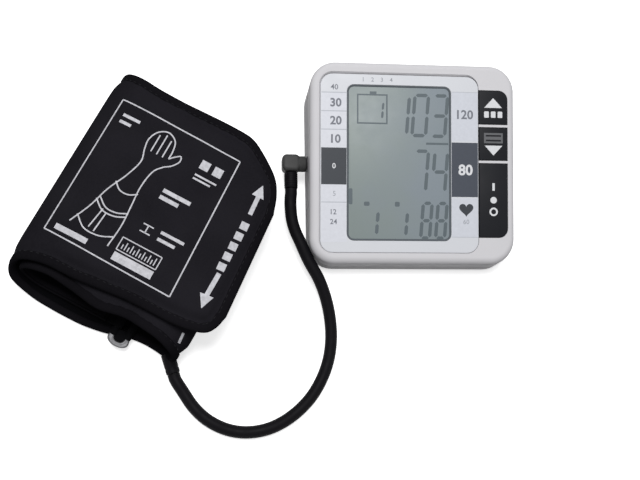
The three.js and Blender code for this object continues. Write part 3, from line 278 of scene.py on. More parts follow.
# Window rim: dark grey that is painted shade, standing for the shadow in the display's recess
RIM_PAINTED_SHADE = printed("window_rim_painted_shade", (84, 90, 95), 0.45)
CELL_LIGHT = printed("print_light", (207, 209, 216), 0.4)
CELL_BLUE = printed("print_pale_blue", (199, 202, 210), 0.4)
CELL_DARK = printed("print_charcoal", (47, 51, 57), 0.45)
CELL_SLATE = printed("print_slate", (61, 66, 76), 0.45)
INK = printed("print_grey", (112, 115, 123))
INK_SOFT = printed("print_soft_grey", (150, 153, 160))
INK_LINE = printed("print_line", (180, 183, 190))
ICON = printed("print_white", (210, 211, 214))
ICON_DIM = printed("print_dim", (92, 93, 96))
PRINT = printed("cuff_print", (192, 192, 197), 0.8, 0.15, 0.05)


# Mesh helpers
def applied(obj):
    """A new mesh with the object's modifiers applied."""
    bpy.context.view_layer.update()
    return bpy.data.meshes.new_from_object(obj.evaluated_get(bpy.context.evaluated_depsgraph_get()))


def as_mesh(name, bm):
    bmesh.ops.recalc_face_normals(bm, faces=bm.faces)
    mesh = bpy.data.meshes.new(name)
    bm.to_mesh(mesh)
    bm.free()
    return mesh


def piece(name, bm, place, material, body, replaces=(), angle=35, weighted=False):
    """Makes a shown object from a mesh in millimetres, put in place and riding on its body."""
    mesh = as_mesh(name, bm)
    mesh.transform(place)
    mesh.materials.append(material)
    mesh.polygons.foreach_set("use_smooth", [True] * len(mesh.polygons))
    mesh.set_sharp_from_angle(angle=math.radians(angle))
    mesh.update()
    obj = linked(name, mesh)
    if weighted:
        obj.modifiers.new("normals", "WEIGHTED_NORMAL").keep_sharp = True
        obj.data = applied(obj)
        obj.modifiers.clear()
        bpy.data.meshes.remove(mesh)
    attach(obj, body)
    if replaces:
        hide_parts(*replaces)
    return obj


def loose(bm):
    return linked("work", as_mesh("work", bm))


def used_up(obj, *tools):
    """The object's mesh with its modifiers applied; the object and its tools are removed."""
    mesh = applied(obj)
    bm = bmesh.new()
    bm.from_mesh(mesh)
    bpy.data.meshes.remove(mesh)
    for work in (obj, *tools):
        data = work.data
        bpy.data.objects.remove(work)
        (bpy.data.meshes if isinstance(data, bpy.types.Mesh) else bpy.data.curves).remove(data)
    return bm


def carve(target, cutters, operation="DIFFERENCE"):
    """Cuts the cutters out of target, or joins them to it; all are meshes in millimetres."""
    base = loose(target)
    tools = [loose(cutter) for cutter in cutters]
    for tool in tools:
        assign(base.modifiers.new("carve", "BOOLEAN"), operation=operation, solver="EXACT", object=tool)
    return used_up(base, *tools)


def soften(bm, width, segments=2):
    """Rounds the sharp edges."""
    obj = loose(bm)
    assign(obj.modifiers.new("soften", "BEVEL"), width=width, segments=segments, limit_method="ANGLE",
           angle_limit=math.radians(40), use_clamp_overlap=True, miter_outer="MITER_ARC")
    return used_up(obj)


def loft(rings, closed=False):
    """Skin over rings of equal length, each a loop of points, with caps or closed onto itself."""
    bm = bmesh.new()
    rows = [[bm.verts.new(point) for point in ring] for ring in rings]
    for first, second in zip(rows, rows[1:] + rows[:1] if closed else rows[1:]):
        for i in range(len(first)):
            j = (i + 1) % len(first)
            bm.faces.new((first[i], first[j], second[j], second[i]))
    if not closed:
        bm.faces.new(rows[0][::-1])
        bm.faces.new(rows[-1])
    return bm


def rounded(x0, x1, y0, y1, radii, steps):
    """Outline with its own radius at each corner: front left, front right, back right, back left."""
    if not hasattr(radii, "__len__"):
        radii = [radii] * 4
    points = []
    for (x, y, start), radius in zip([(x0, y0, 180), (x1, y0, 270), (x1, y1, 0), (x0, y1, 90)], radii):
        if radius <= 0:
            points.append((x, y))
            continue
        cx = x + radius if x == x0 else x - radius
        cy = y + radius if y == y0 else y - radius
        for k in range(steps + 1):
            angle = math.radians(start + 90 * k / steps)
            points.append((cx + radius * math.cos(angle), cy + radius * math.sin(angle)))
    return points


def rectangle(x0, x1, y0, y1, radius=0):
    return rounded(x0, x1, y0, y1, radius, 3)


def grown(box, by):
    x0, x1, y0, y1 = box
    return x0 - by, x1 + by, y0 - by, y1 + by


def circle(radius, count, x=0, y=0):
    angles = [2 * math.pi * k / count for k in range(count)]
    return [(x + radius * math.cos(angle), y + radius * math.sin(angle)) for angle in angles]


def slab(outline, z0, z1):
    return loft([[(x, y, z) for x, y in outline] for z in (z0, z1)])


def turned(profile, sides):
    """Round piece about z from an open profile of radius and height; ends on the axis are closed."""
    bm = bmesh.new()
    rows = [
        [bm.verts.new((x, y, height)) for x, y in (circle(radius, sides) if radius else [(0, 0)])]
        for radius, height in profile
    ]
    for first, second in zip(rows, rows[1:]):
        for i in range(sides):
            j = (i + 1) % sides
            spots = ((first, i), (first, j), (second, j), (second, i))
            corners = [row[k % len(row)] for row, k in spots]
            unique = list(dict.fromkeys(corners))
            if len(unique) > 2:
                bm.faces.new(unique)
    return bm


def moved(bm, matrix):
    bmesh.ops.transform(bm, matrix=matrix, verts=bm.verts)
    return bm


def join(*parts):
    result = bmesh.new()
    for part in parts:
        mesh = bpy.data.meshes.new("part")
        part.to_mesh(mesh)
        part.free()
        result.from_mesh(mesh)
        bpy.data.meshes.remove(mesh)
    return result


def dressed(name, node, material, body, bevel, angle=35):
    """The node's own form, welded, with its small edges rounded and shaded smooth."""
    bm = bmesh.new()
    bm.from_mesh(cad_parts[node].data)
    bmesh.ops.remove_doubles(bm, verts=bm.verts, dist=1e-6)
    bmesh.ops.scale(bm, vec=(1 / MM,) * 3, verts=bm.verts)
    bmesh.ops.dissolve_limit(bm, angle_limit=math.radians(1.0), verts=bm.verts, edges=bm.edges)
    if bevel:
        bm = soften(bm, bevel)
    return piece(name, bm, Matrix.Scale(MM, 4), material, body, [node], angle, weighted=True)


# Case; depths are measured from the tilted face
CORNER = 17
EDGE_ROUND = 4.2
WALL = 2.2
ROOF = 3.2
SKIRT = 12
SEAM = 0.35
GAP = 0.3
PLATE_TOP = -0.4
PLATE_FOOT = PLATE_TOP - 1.1
PLATE_CORNER = 8
POCKET = 1.8
SLOPE = 1.2
PLATE_BOX = (-61.6, 43.6, 7.2, 124.26)
WINDOW_BOX = (-44.25, 25.25, 14.8, 117.06)
WINDOW_CORNER = 4.6
PANE_TOP = PLATE_TOP - 0.8
LEDGE = 1.75
KEY_TOP = 0.4
KEY_FLANGE = 1
KEY_FLANGE_ENDS = 0.6
KEY_LEFT = 44.1
KEY_RIGHT = 63.4
KEY_MIDDLE = (KEY_LEFT + KEY_RIGHT) / 2
KEY_ROWS = {
    "start_stop": (17.4, 66.456, (0, 6, 0, 0)),
    "down": (68.656, 90.456, (0, 0, 0, 0)),
    "up": (92.656, 115.056, (0, 0, 6, 0)),
}


def case_ring(inset, rise):
    """The case's outline, pulled in by inset and parallel to the face at this height over it."""
    half_x = CASE_WIDTH / 2 - inset
    half_y = CASE_DEPTH / 2 - inset
    return [(x, y, FRONT_HEIGHT + (y - CASE_FRONT) * math.tan(FACE_TILT) + rise)
            for x, y in rounded(-half_x, half_x, -half_y, half_y, CORNER - inset, 16)]


def make_upper_shell():
    rings = [case_ring(SEAM, -SKIRT), case_ring(SEAM * 0.3, SEAM * 0.3 - SKIRT), case_ring(0, SEAM - SKIRT)]
    steps = 10
    for k in range(steps + 1):
        angle = math.pi / 2 * k / steps
        rings.append(case_ring(EDGE_ROUND * (1 - math.cos(angle)), -EDGE_ROUND * (1 - math.sin(angle))))
    hollow = loft([case_ring(WALL, -SKIRT - 1), case_ring(WALL, -ROOF / math.cos(FACE_TILT))])
    x0, x1, y0, y1 = PLATE_BOX
    cutters = [
        loft([[(x, y, depth) for x, y in rounded(
            x0 - reach, x1 + min(reach, GAP), y0 - reach, y1 + reach, PLATE_CORNER + reach, 10)]
            for depth, reach in ((-1.1, 0.25), (0.0, SLOPE), (0.2, SLOPE))]),
        slab(rounded(*grown(PLATE_BOX, GAP), PLATE_CORNER + GAP, 10), -POCKET, 1),
        slab(rounded(*grown(WINDOW_BOX, -LEDGE), WINDOW_CORNER - LEDGE, 6), -ROOF - 1, 1),
    ]
    for front, back, radii in KEY_ROWS.values():
        box = grown((KEY_LEFT, KEY_RIGHT, front, back), GAP)
        cutters.append(slab(rounded(*box, [r + GAP if r else 0 for r in radii], 8), -ROOF - 1, 1))
    shell = soften(carve(loft(rings), [hollow, *(moved(cutter, ON_FACE) for cutter in cutters)]), 0.25)
    piece("bezel", shell, TABLE, SHELL, "monitor", ["upper_shell"], weighted=True)


def make_face_plate():
    x0, x1, y0, y1 = PLATE_BOX
    blank = slab(rounded(x0 - 0.12, x1 + 0.1, y0 - 0.12, y1 - 0.35, PLATE_CORNER, 10), PLATE_FOOT, PLATE_TOP)
    hole = slab(rounded(*grown(WINDOW_BOX, 0.1), WINDOW_CORNER + 0.1, 8), -3, 1)
    plate = soften(carve(blank, [hole]), 0.2, 3)
    piece("face_panel", plate, FACE, PLATE, "monitor", ["face_plate"], weighted=True)


def flat_print(name, outlines, material, body="monitor", top=PLATE_TOP, lift=0.03, depth=0.06):
    """Thin closed ink shapes from outlines that lie flat on a face."""
    parts = [slab(outline, top + lift - depth, top + lift) for outline in outlines]
    piece(name, join(*parts), FACE, material, body)


SEGMENTS = {"0": "abcdef", "1": "bc", "3": "abgcd", "4": "fgbc", "7": "abc", "8": "abcdefg"}
SLANT = 0.08


def digit(character, x0, x1, y0, y1, stroke=2.3, gap=0.5):
    """Seven-segment digit as pointed bars that lean to the right."""
    middle = (y0 + y1) / 2
    half = stroke / 2
    left, right = x0 + half, x1 - half
    bottom, top = y0 + half, y1 - half
    lines = {
        "a": (left, top, right, top), "g": (left, middle, right, middle), "d": (left, bottom, right, bottom),
        "f": (left, middle, left, top), "b": (right, middle, right, top),
        "e": (left, bottom, left, middle), "c": (right, bottom, right, middle),
    }
    shapes = []
    for key in SEGMENTS[character]:
        ax, ay, bx, by = lines[key]
        length = math.hypot(bx - ax, by - ay)
        ux, uy = (bx - ax) / length, (by - ay) / length
        points = []
        for along, across in (
            (gap, 0), (gap + half, -half), (length - gap - half, -half),
            (length - gap, 0), (length - gap - half, half), (gap + half, half),
        ):
            y = ay + uy * along + ux * across
            points.append((ax + ux * along - uy * across + SLANT * (y - middle), y))
        shapes.append(points)
    return shapes


def make_display():
    pane = slab(rounded(*WINDOW_BOX, WINDOW_CORNER, 8), PLATE_FOOT, PANE_TOP)
    piece("display_pane", soften(pane, 0.1), FACE, LCD, "monitor", ["display_window"])
    # Sloped rim round the display, coloured dark grey as painted shade of the recess
    outer = slab(rounded(*grown(WINDOW_BOX, -0.02), WINDOW_CORNER, 8), PANE_TOP - 0.1, PANE_TOP + 0.62)
    inner = loft([
        [(x, y, PANE_TOP + rise) for x, y in rounded(*grown(WINDOW_BOX, -rim), WINDOW_CORNER - rim, 8)]
        for rise, rim in ((-1, 1.45), (0, 1.25), (0.7, 0.35))
    ])
    piece("display_gasket", carve(outer, [inner]), FACE, RIM_PAINTED_SHADE, "monitor")
    shapes = []
    for character, *box in (
        ("1", -12.6, -2.4, 83.7, 111.2), ("0", -1.0, 10.4, 83.2, 112.2), ("3", 12.2, 23.3, 83.0, 112.2),
        ("7", -0.6, 10.3, 46.4, 75.2), ("4", 12.4, 23.2, 46.2, 74.6),
        ("1", -33.0, -22.9, 17.3, 35.2), ("1", -13.0, -3.4, 16.8, 34.8),
        ("8", 4.6, 12.8, 15.6, 40.8), ("8", 14.6, 22.9, 15.6, 40.8),
    ):
        shapes += digit(character, *box)
    shapes += digit("1", -25.4, -19.7, 94.1, 106.8, 1.5, 0.4)
    shapes += [rectangle(*box) for box in (
        (-37.6, -17.2, 91.4, 92.4), (-37.6, -17.2, 110.2, 111.2), (-37.6, -36.6, 92.4, 110.2),
        (-18.2, -17.2, 92.4, 110.2), (-29.1, -24.6, 111.2, 112.9), (8.6, 23.6, 78.4, 79.8),
        (-42.9, -40.5, 38.4, 48.9, 0.8), (-32.9, -29.2, 37.5, 40.3, 0.8), (-12.4, -9.2, 37.2, 40.4, 0.8))]
    flat_print("display_segments", shapes, SEGMENT, "monitor", PANE_TOP, 0.02, 0.05)


def numerals(text, x, y, height, bold):
    """Plain numbers in Blender's own font as closed flat shapes of this height, centred on a place."""
    work = linked("work", bpy.data.curves.new("work", "FONT"))
    assign(work.data, body=text, offset=bold, extrude=0.02, resolution_u=3)
    bm = used_up(work)
    bmesh.ops.remove_doubles(bm, verts=bm.verts, dist=1e-4)
    spots = np.array([vertex.co[:] for vertex in bm.verts])
    middle = (spots.min(0) + spots.max(0)) / 2
    grow = height / (spots[:, 1].max() - spots[:, 1].min())
    place = Matrix.Translation((x, y, 0)) @ Matrix.Scale(grow, 4) @ Matrix.Translation(-Vector(middle))
    return moved(bm, place)


def print_numbers(name, rows, material):
    """Numbers printed on the plate, each row being the text, its centre, its height and its boldness."""
    texts = join(*[numerals(*row) for row in rows])
    spread = max(vertex.co.z for vertex in texts.verts)
    moved(texts, Matrix.Translation((0, 0, PLATE_TOP + 0.03)) @ Matrix.Diagonal((1, 1, 0.02 / spread, 1)))
    piece(name, texts, FACE, material, "monitor")


def heart(x, y, size):
    points = []
    for k in range(40):
        t = 2 * math.pi * k / 40
        px = 16 * math.sin(t) ** 3
        py = 13 * math.cos(t) - 5 * math.cos(2 * t) - 2 * math.cos(3 * t) - math.cos(4 * t)
        points.append((x + px * size / 32, y + py * size / 32))
    return points


def make_plate_print():
    left = (-61.2, -44.6)
    right = (25.6, 43.3)
    flat_print("plate_left_column", [rectangle(*left, 13.7, 111.4)], CELL_LIGHT, lift=0.015)
    flat_print("plate_right_column", [rectangle(*right, 81.0, 113.6), rectangle(*right, 17.5, 43.3)],
               CELL_BLUE, lift=0.015)
    flat_print("plate_dark_cell", [rectangle(*left, 51.2, 75.3)], CELL_DARK)
    flat_print("plate_slate_cell", [rectangle(25.6, 43.35, 44.0, 80.1)], CELL_SLATE)
    lines = [rectangle(*left, v, v + 0.7) for v in (111.2, 99.0, 86.9, 39.3)]
    lines += [rectangle(*right, v, v + 0.5) for v in (113.4, 17.2)]
    flat_print("plate_lines", lines, INK_LINE, lift=0.025)
    print_numbers("plate_numbers", [
        ("30", -51.6, 105.0, 5.8, 0.028), ("20", -51.6, 93.2, 5.8, 0.028), ("10", -51.6, 81.2, 5.8, 0.028),
        ("40", -52.6, 115.2, 3.6, 0.01), ("12", -53.0, 33.4, 3.4, 0.015), ("24", -53.0, 27.0, 3.4, 0.015),
        ("120", 34.8, 98.8, 6.2, 0.022)], INK)
    small = [("5", -52.6, 45.3, 3.2, 0.0), ("60", 35.4, 27.6, 3.0, 0.0)]
    print_numbers("plate_small_numbers", small, INK_SOFT)
    light = [("0", -52.8, 63.4, 3.6, 0.02), ("80", 35.0, 62.0, 7.4, 0.03)]
    print_numbers("plate_light_numbers", light, ICON)
    top = [(str(k + 1), -33.6 + 6.2 * k, 120.6, 2.8, 0.01) for k in range(4)]
    print_numbers("plate_top_numbers", top, INK_SOFT)
    flat_print("plate_heart", [heart(35.4, 35.9, 9.6)], CELL_DARK)


def ring_outline(x, y, outer, inner, parts=12):
    """A ring as short closed pieces side by side."""
    outside, inside = (circle(radius, parts, x, y) for radius in (outer, inner))
    return [[outside[k - 1], outside[k], inside[k], inside[k - 1]] for k in (*range(1, parts), 0)]


def make_keys():
    icons = {
        "up": [[(47.6, 103.6), (59.8, 103.6), (KEY_MIDDLE, 110.2)],
               *[rectangle(x - 1.6, x + 1.6, 97.0, 101.2, 0.5)
                 for x in (KEY_MIDDLE - 4.6, KEY_MIDDLE, KEY_MIDDLE + 4.6)]],
        "down": [[(47.9, 78.4), (KEY_MIDDLE, 71.8), (59.9, 78.4)]],
        "start_stop": [circle(2.2, 28, KEY_MIDDLE, 42.1),
                       rectangle(KEY_MIDDLE - 0.8, KEY_MIDDLE + 0.8, 48.4, 53.4),
                       *ring_outline(KEY_MIDDLE, 34.4, 2.9, 1.7)],
    }
    for name, (front, back, radii) in KEY_ROWS.items():
        cap = soften(slab(rounded(KEY_LEFT, KEY_RIGHT, front, back, radii, 10), -ROOF, KEY_TOP), 0.5, 4)
        foot = rectangle(KEY_LEFT - KEY_FLANGE, KEY_RIGHT + KEY_FLANGE_ENDS,
                         front - KEY_FLANGE_ENDS, back + KEY_FLANGE_ENDS)
        flange = slab(foot, -ROOF - 1.5, -ROOF - 0.3)
        stem = moved(turned([(0, 0), (2.5, 0), (2.5, 4.5), (0, 4.5)], 24),
                     Matrix.Translation((KEY_MIDDLE, (front + back) / 2, -ROOF - 5.4)))
        body = f"{name}_button"
        piece(f"key_cap_{name}", join(cap, flange, stem), FACE, KEY, body, [f"key_{name}"])
        flat_print(f"key_icon_{name}", icons[name], ICON, body, KEY_TOP, 0.02, 0.05)
    panel = [rectangle(47.4, 60.2, 80.0, 86.8)]
    bars = [rectangle(48.6, 59.0, v, v + 1.1) for v in (81.2, 84.4)]
    flat_print("key_panel_down", panel, ICON_DIM, "down_button", KEY_TOP, 0.015, 0.04)
    flat_print("key_bars_down", bars, KEY, "down_button", KEY_TOP, 0.03, 0.04)


make_upper_shell()
make_face_plate()
make_display()
make_plate_print()
make_keys()
# Case base and battery cover in the darker base plastic, whose grey is painted shade
dressed("case_base", "lower_shell", BASE_PLASTIC_PAINTED_SHADE, "monitor", 0.3)
dressed("battery_cover", "battery_door", BASE_PLASTIC_PAINTED_SHADE, "door", 0.2)
for i in range(1, 5):
    dressed(f"rubber_foot_{i}", f"foot_{i}", RUBBER, "monitor", 0.4)
    dressed(f"screw_{i}", f"case_screw_{i}", STEEL, "monitor", 0.15)
    dressed(f"cell_{i}", f"battery_{i}", CELL, "monitor", 0.0, 50)
for material, nodes in (
    (LCD, "display_panel"),
    (WHITE, "display_tray pressure_sensor air_manifold"),
    (SILICONE, "display_connector tube_to_pump tube_to_valve tube_to_sensor"),
    (BOARD, "circuit_board"),
    (STEEL, "board_screw_1 board_screw_2 pump_motor release_valve"),
    (CHIP, "microcontroller buzzer switch_start_stop switch_down switch_up"),
    (NICKEL, "contact_front_left contact_front_right "
             "contact_back_left contact_back_middle contact_back_right"),
    (DARK, "pump_head"),
    (RUBBER, "pump_cradle"),
):
    for node in nodes.split():
        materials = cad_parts[node].data.materials
        materials.clear()
        materials.append(material)
dressed("socket", "air_socket", DARK, "monitor", 0.0, 30)


# Elbow plug, collar and hose
PORT_Y = 3
PORT_Z = 18
PLUG_HALF_WIDTH = 6
PLUG_HALF_DEPTH = 5.7
SOCKET_PROUD = 0.3
NECK_LENGTH = 4.3
PLUG_RIGHT = -CASE_WIDTH / 2 - SOCKET_PROUD - GAP - NECK_LENGTH
PLUG_X = PLUG_RIGHT - PLUG_HALF_WIDTH
HOSE_RADIUS = 4
CURVE_PARTS = 16
HOSE_ROUTE = [
    (-79.5, -14.3, 18), (-79.5, -17.3, 18),
    (-80, -22, 17.9), (-79.2, -34.5, 17.6), (-77.2, -42, 17.4), (-74.1, -49, 17), (-68.3, -61.8, 15.4),
    (-61, -74.6, 12.8), (-56.4, -86.6, 9.6), (-53.7, -98.8, 6.6), (-52.9, -111.4, 4.9), (-54.5, -124.4, 4.3),
    (-59.1, -137.5, 4.2), (-67.2, -150.6, 4.2), (-79.4, -162, 4.2), (-93, -169.2, 4.2), (-106.9, -171.7, 4.2),
    (-119.8, -170.1, 4.2), (-132.5, -164.2, 4.2), (-142, -155.7, 4.3), (-149.4, -145, 4.6),
]
BOOT_WAY = Vector((math.cos(math.radians(107)), math.sin(math.radians(107)), 0))
BOOT_START = Vector((-155.2, -134.3, 5.0))


def make_plug():
    half_x, half_y = PLUG_HALF_WIDTH, PLUG_HALF_DEPTH
    body = soften(slab(rounded(-half_x, half_x, -half_y, half_y, 3.2, 8), -5.5, 5.5), 2.3, 5)
    body = moved(body, Matrix.Translation((PLUG_X, PORT_Y, PORT_Z)))
    stem = turned([
        (0, -3), (5.3, -3), (5.3, 3.2), (4.9, 4.0), (4.4, NECK_LENGTH), (2.8, NECK_LENGTH),
        (2.8, 6.2), (2.5, 6.6), (2.5, 7.4), (2.8, 7.8), (2.8, 10.2), (2.2, 10.7), (0, 10.7),
    ], 40)
    place = Matrix.Translation((PLUG_RIGHT, PORT_Y, PORT_Z)) @ Matrix.Rotation(math.pi / 2, 4, "Y")
    plug = carve(body, [moved(stem, place)], "UNION")
    return piece("elbow", plug, TABLE, ELBOW, "cuff_set", ["elbow_plug"])


def make_collar():
    profile = [(0, 0), (3.6, 0), (4.2, 0.4)]
    for rib in range(6):
        z = 1.0 + 1.5 * rib
        profile += [(4.45, z), (4.45, z + 0.9), (4.25, z + 1.05), (4.25, z + 1.35)]
    profile += [(4.45, 10.2), (4.3, 10.8), (3.6, 11.0), (0, 11.0)]
    place = Matrix.Translation((PLUG_X, PORT_Y - PLUG_HALF_DEPTH - GAP, PORT_Z))
    collar = moved(turned(profile, 40), place @ Matrix.Rotation(math.pi / 2, 4, "X"))
    return piece("hose_collar", collar, TABLE, HOSE, "cuff_set", ["plug_collar"])


def smooth_path(points, spacing):
    """Centripetal curve through the points, as evenly spaced points."""
    line = [Vector(p) for p in points]
    line = [2 * line[0] - line[1], *line, 2 * line[-1] - line[-2]]
    dense = []
    for group in zip(line, line[1:], line[2:], line[3:]):
        knots = list(accumulate(((q - p).length ** 0.5 for p, q in zip(group, group[1:])), initial=0.0))
        start, end = knots[1:3]
        for k in range(CURVE_PARTS):
            t = start + (end - start) * k / CURVE_PARTS
            row = group
            for reach in (1, 2):
                row = [p.lerp(q, (t - low) / (high - low))
                       for p, q, low, high in zip(row, row[1:], knots, knots[reach:])]
            dense.append(row[0].lerp(row[1], (t - start) / (end - start)))
    dense.append(Vector(points[-1]))
    lengths = list(accumulate(((q - p).length for p, q in zip(dense, dense[1:])), initial=0.0))
    count = max(2, round(lengths[-1] / spacing))
    result = []
    for k in range(count + 1):
        want = lengths[-1] * k / count
        i = min(bisect_left(lengths, want, 1), len(dense) - 1) - 1
        share = (want - lengths[i]) / max(1e-9, lengths[i + 1] - lengths[i])
        result.append(dense[i].lerp(dense[i + 1], min(1.0, share)))
    return result, lengths[-1]


def make_hose(elbow, collar):
    boot_end = [tuple(BOOT_START - BOOT_WAY * before) for before in (3.3, 0.3)]
    path, length = smooth_path(HOSE_ROUTE + boot_end, 3.0)
    data = assign(bpy.data.curves.new("hose", "CURVE"), dimensions="3D", bevel_depth=HOSE_RADIUS * MM,
                  bevel_resolution=6, use_fill_caps=True, resolution_u=1)
    spline = data.splines.new("POLY")
    spline.points.add(len(path) - 1)
    for point, place in zip(spline.points, path):
        point.co = (*(TABLE @ place), 1.0)
    data.materials.append(HOSE)
    hose = linked("hose", data)
    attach(hose, "cuff_set")
    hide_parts("air_hose")


def make_boot():
    """Rubber sleeve that takes the hose into the cuff's front edge."""
    profile = [(0, 0), (3.7, 0), (4.3, 0.5), (4.45, 1.2), (4.45, 3), (4.25, 3.4), (4.25, 4.2), (4.45, 4.6),
               (4.45, 13), (4.0, 13.6), (0, 13.6)]
    place = Matrix.Translation(BOOT_START) @ BOOT_WAY.to_track_quat("Z", "Y").to_matrix().to_4x4()
    piece("boot", moved(turned(profile, 32), place), TABLE, HOSE, "cuff_set", ["hose_boot"])


# The cuff's band: a flattened spiral followed from the free flap inwards
CUFF_HEIGHT = 47
CUFF_LEFT = -68.8
CUFF_RIGHT = 53.5
FLAP_END = 67.8
FLAP_SLANT = 0.068
FLAP_SLANT_REACH = 40
CLOTH_THICK = 1.2
BLADDER_THICK = 3
TURN_GAP = 0.6
EDGE_TAPER = 19
BAND_THICK = 2 * CLOTH_THICK + BLADDER_THICK + 2 * GAP
BAND_MID = BAND_THICK / 2
BLADDER_START = 134
BLADDER_END = 372
THINNING = 18
HEM = 6.2
CLOTH_EDGE = 1.0
FRONT_EDGE = [
    (0, -30), (2, -38), (6, -44.6), (15, -48), (27, -49.6), (46, -49.6), (60, -50), (75, -51.8),
    (93, -53.6), (111, -53.8), (126, -57), (140, -62.4), (153, -69.6), (176, -73.6), (193, -74.2),
    (210, -73.9), (225, -71.6), (238, -67.6), (248, -65.8), (258, -66), (268, -67.4), (282, -68),
    (308, -61), (330, -59), (348, -63), (366, -60), (384, -58), (405, -62), (428, -65), (472, -65),
]
BACK_EDGE = [
    (0, 40), (3, 51), (9, 61.5), (20, 68.8), (31, 74.8), (39, 78.2), (45, 79), (60, 79), (90, 77.7),
    (108, 77.9), (122, 79.3), (132, 80), (142, 80.6), (153, 76.2), (164, 69.2), (176, 65), (210, 66),
    (240, 66), (262, 58), (280, 54), (298, 58), (320, 70), (384, 73.5), (428, 72), (472, 72),
]
FRONT, BACK = (np.array(edge, float).T for edge in (FRONT_EDGE, BACK_EDGE))
TOP_Z = CUFF_HEIGHT - BAND_MID
OUTER_FOLD = (TOP_Z - BAND_MID) / 2
INNER_TOP_Z = TOP_Z - BAND_THICK - TURN_GAP
RIGHT_FOLD = (INNER_TOP_Z - BAND_MID) / 2
INNER_BOTTOM_Z = BAND_MID + BAND_THICK + TURN_GAP
INNER_FOLD = (INNER_TOP_Z - INNER_BOTTOM_Z) / 2
CUFF_CORE = (-7, 0, 0)
LEFT_CENTRE = CUFF_LEFT + BAND_MID + OUTER_FOLD
RIGHT_CENTRE = CUFF_RIGHT - BAND_MID - RIGHT_FOLD
# Each stretch: its length or radius, its start or centre, its way or its first angle in half turns
STRETCHES = [
    ("run", FLAP_END - LEFT_CENTRE, (FLAP_END, TOP_Z), -1),
    ("fold", OUTER_FOLD, (LEFT_CENTRE, BAND_MID + OUTER_FOLD), 0.5),
    ("run", RIGHT_CENTRE - LEFT_CENTRE, (LEFT_CENTRE, BAND_MID), 1),
    ("fold", RIGHT_FOLD, (RIGHT_CENTRE, BAND_MID + RIGHT_FOLD), 1.5),
    ("run", RIGHT_CENTRE - LEFT_CENTRE, (RIGHT_CENTRE, INNER_TOP_Z), -1),
    ("fold", INNER_FOLD, (LEFT_CENTRE, INNER_BOTTOM_Z + INNER_FOLD), 0.5),
    ("run", -LEFT_CENTRE, (LEFT_CENTRE, INNER_BOTTOM_Z), 1),
]
LENGTHS = [size if kind == "run" else math.pi * size for kind, size, _, _ in STRETCHES]
BAND_LENGTH = sum(LENGTHS)


def centre_line(s):
    """Point of the centre line and its outward normal in the x-z plane."""
    rest = s
    for index, ((kind, size, (x, z), turn), length) in enumerate(zip(STRETCHES, LENGTHS)):
        if rest <= length or index == len(STRETCHES) - 1:
            break
        rest -= length
    if kind == "run":
        return x + turn * rest, z, 0.0, -float(turn)
    angle = turn * math.pi + rest / size
    return x + size * math.cos(angle), z + size * math.sin(angle), math.cos(angle), math.sin(angle)


def smooth_edge(edge, s):
    """Edge of the band without corners: the listed points, averaged over a short way."""
    reach = min(5.0, max(0.6, s * 0.4))
    samples = np.clip(np.linspace(s - reach, s + reach, 9), 0, BAND_LENGTH)
    return float(np.interp(samples, *edge).mean())


def inset_edge(edge, side, s, distance):
    """Edge of the band moved inwards by a distance; side is 1 for the front and -1 for the back."""
    best = -1e9
    for k in range(25):
        t = min(BAND_LENGTH, max(0.0, s + distance * (2 * k / 24 - 1)))
        reach = math.sqrt(max(0.0, distance ** 2 - (t - s) ** 2))
        best = max(best, side * smooth_edge(edge, t) + reach)
    return side * best


def band_point(s, y, offset):
    slant = FLAP_SLANT * (y - FRONT_EDGE[0][1]) * max(0.0, 1 - s / FLAP_SLANT_REACH)
    x, z, nx, nz = centre_line(s + slant)
    return Vector((x + nx * offset, y, z + nz * offset))


def smoothstep(x, a, b):
    t = min(1.0, max(0.0, (x - a) / (b - a)))
    return t * t * (3 - 2 * t)


def filling(s):
    """1 where the bladder is in the band, 0 where it isn't."""
    return smoothstep(s, BLADDER_START - THINNING, BLADDER_START) * (
        1 - smoothstep(s, BLADDER_END, BLADDER_END + THINNING))


def ripple(x, y, z):
    return noise.noise(Vector((x, y, z)))


def slack(s, distance):
    """How freely the outer cover lifts: not at the hem, on the table or inside the roll."""
    left = 1 - 0.75 * smoothstep(s, 98, 118) - 0.25 * smoothstep(s, 150, 172)
    right = 0.6 * smoothstep(s, 256, 266) * (1 - smoothstep(s, 292, 304))
    return max(left, right) * smoothstep(distance, HEM, HEM + 7)


def relief(s, y, distance):
    """How far the outer cloth stands off its plain form: hem groove, stitch puckers, soft undulation."""
    groove = -0.45 * math.exp(-((distance - HEM) / 1.1) ** 2)
    along = s if min(y + 80, 80 - y) < 30 else y
    pucker = math.exp(-((distance - HEM - 1.5) / 3.5) ** 2)
    puckers = 0.2 * pucker * ripple(along / 3.4, distance / 9, 4.7)
    broad = 0.8 * ripple(s / 44, y / 44, 1.3) + 0.35 * ripple(s / 15, y * 0.5 / 15, 7.9)
    inner = 0.25 * smoothstep(s, 304, 320) * min(0.0, ripple(s / 30, y / 30, 3.1))
    return groove + puckers + slack(s, distance) * broad + inner


# Offsets from the centre line of the cover's faces and the lining, at a place and its room to the edge
def inner_rule(s, y, room):
    share = math.sin(min(1.0, max(0.0, room / EDGE_TAPER)) * math.pi / 2)
    return 0.15 + (BLADDER_THICK / 2 + 0.15) * share


def outer_rule(s, y, room):
    return inner_rule(s, y, room) + CLOTH_THICK + relief(s, y, room + CLOTH_EDGE)


def lining_rule(s, y, room):
    inside = inner_rule(s, y, room)
    share = filling(s)
    return (inside - 0.3) * (1 - share) - inside * share


def row_places(step):
    """Path lengths of rows, closer together at the flap's end."""
    rows = [0.0]
    while rows[-1] < BAND_LENGTH - step:
        rows.append(rows[-1] + (0.7 if rows[-1] < 10 else step))
    rows[-1] = BAND_LENGTH
    return rows


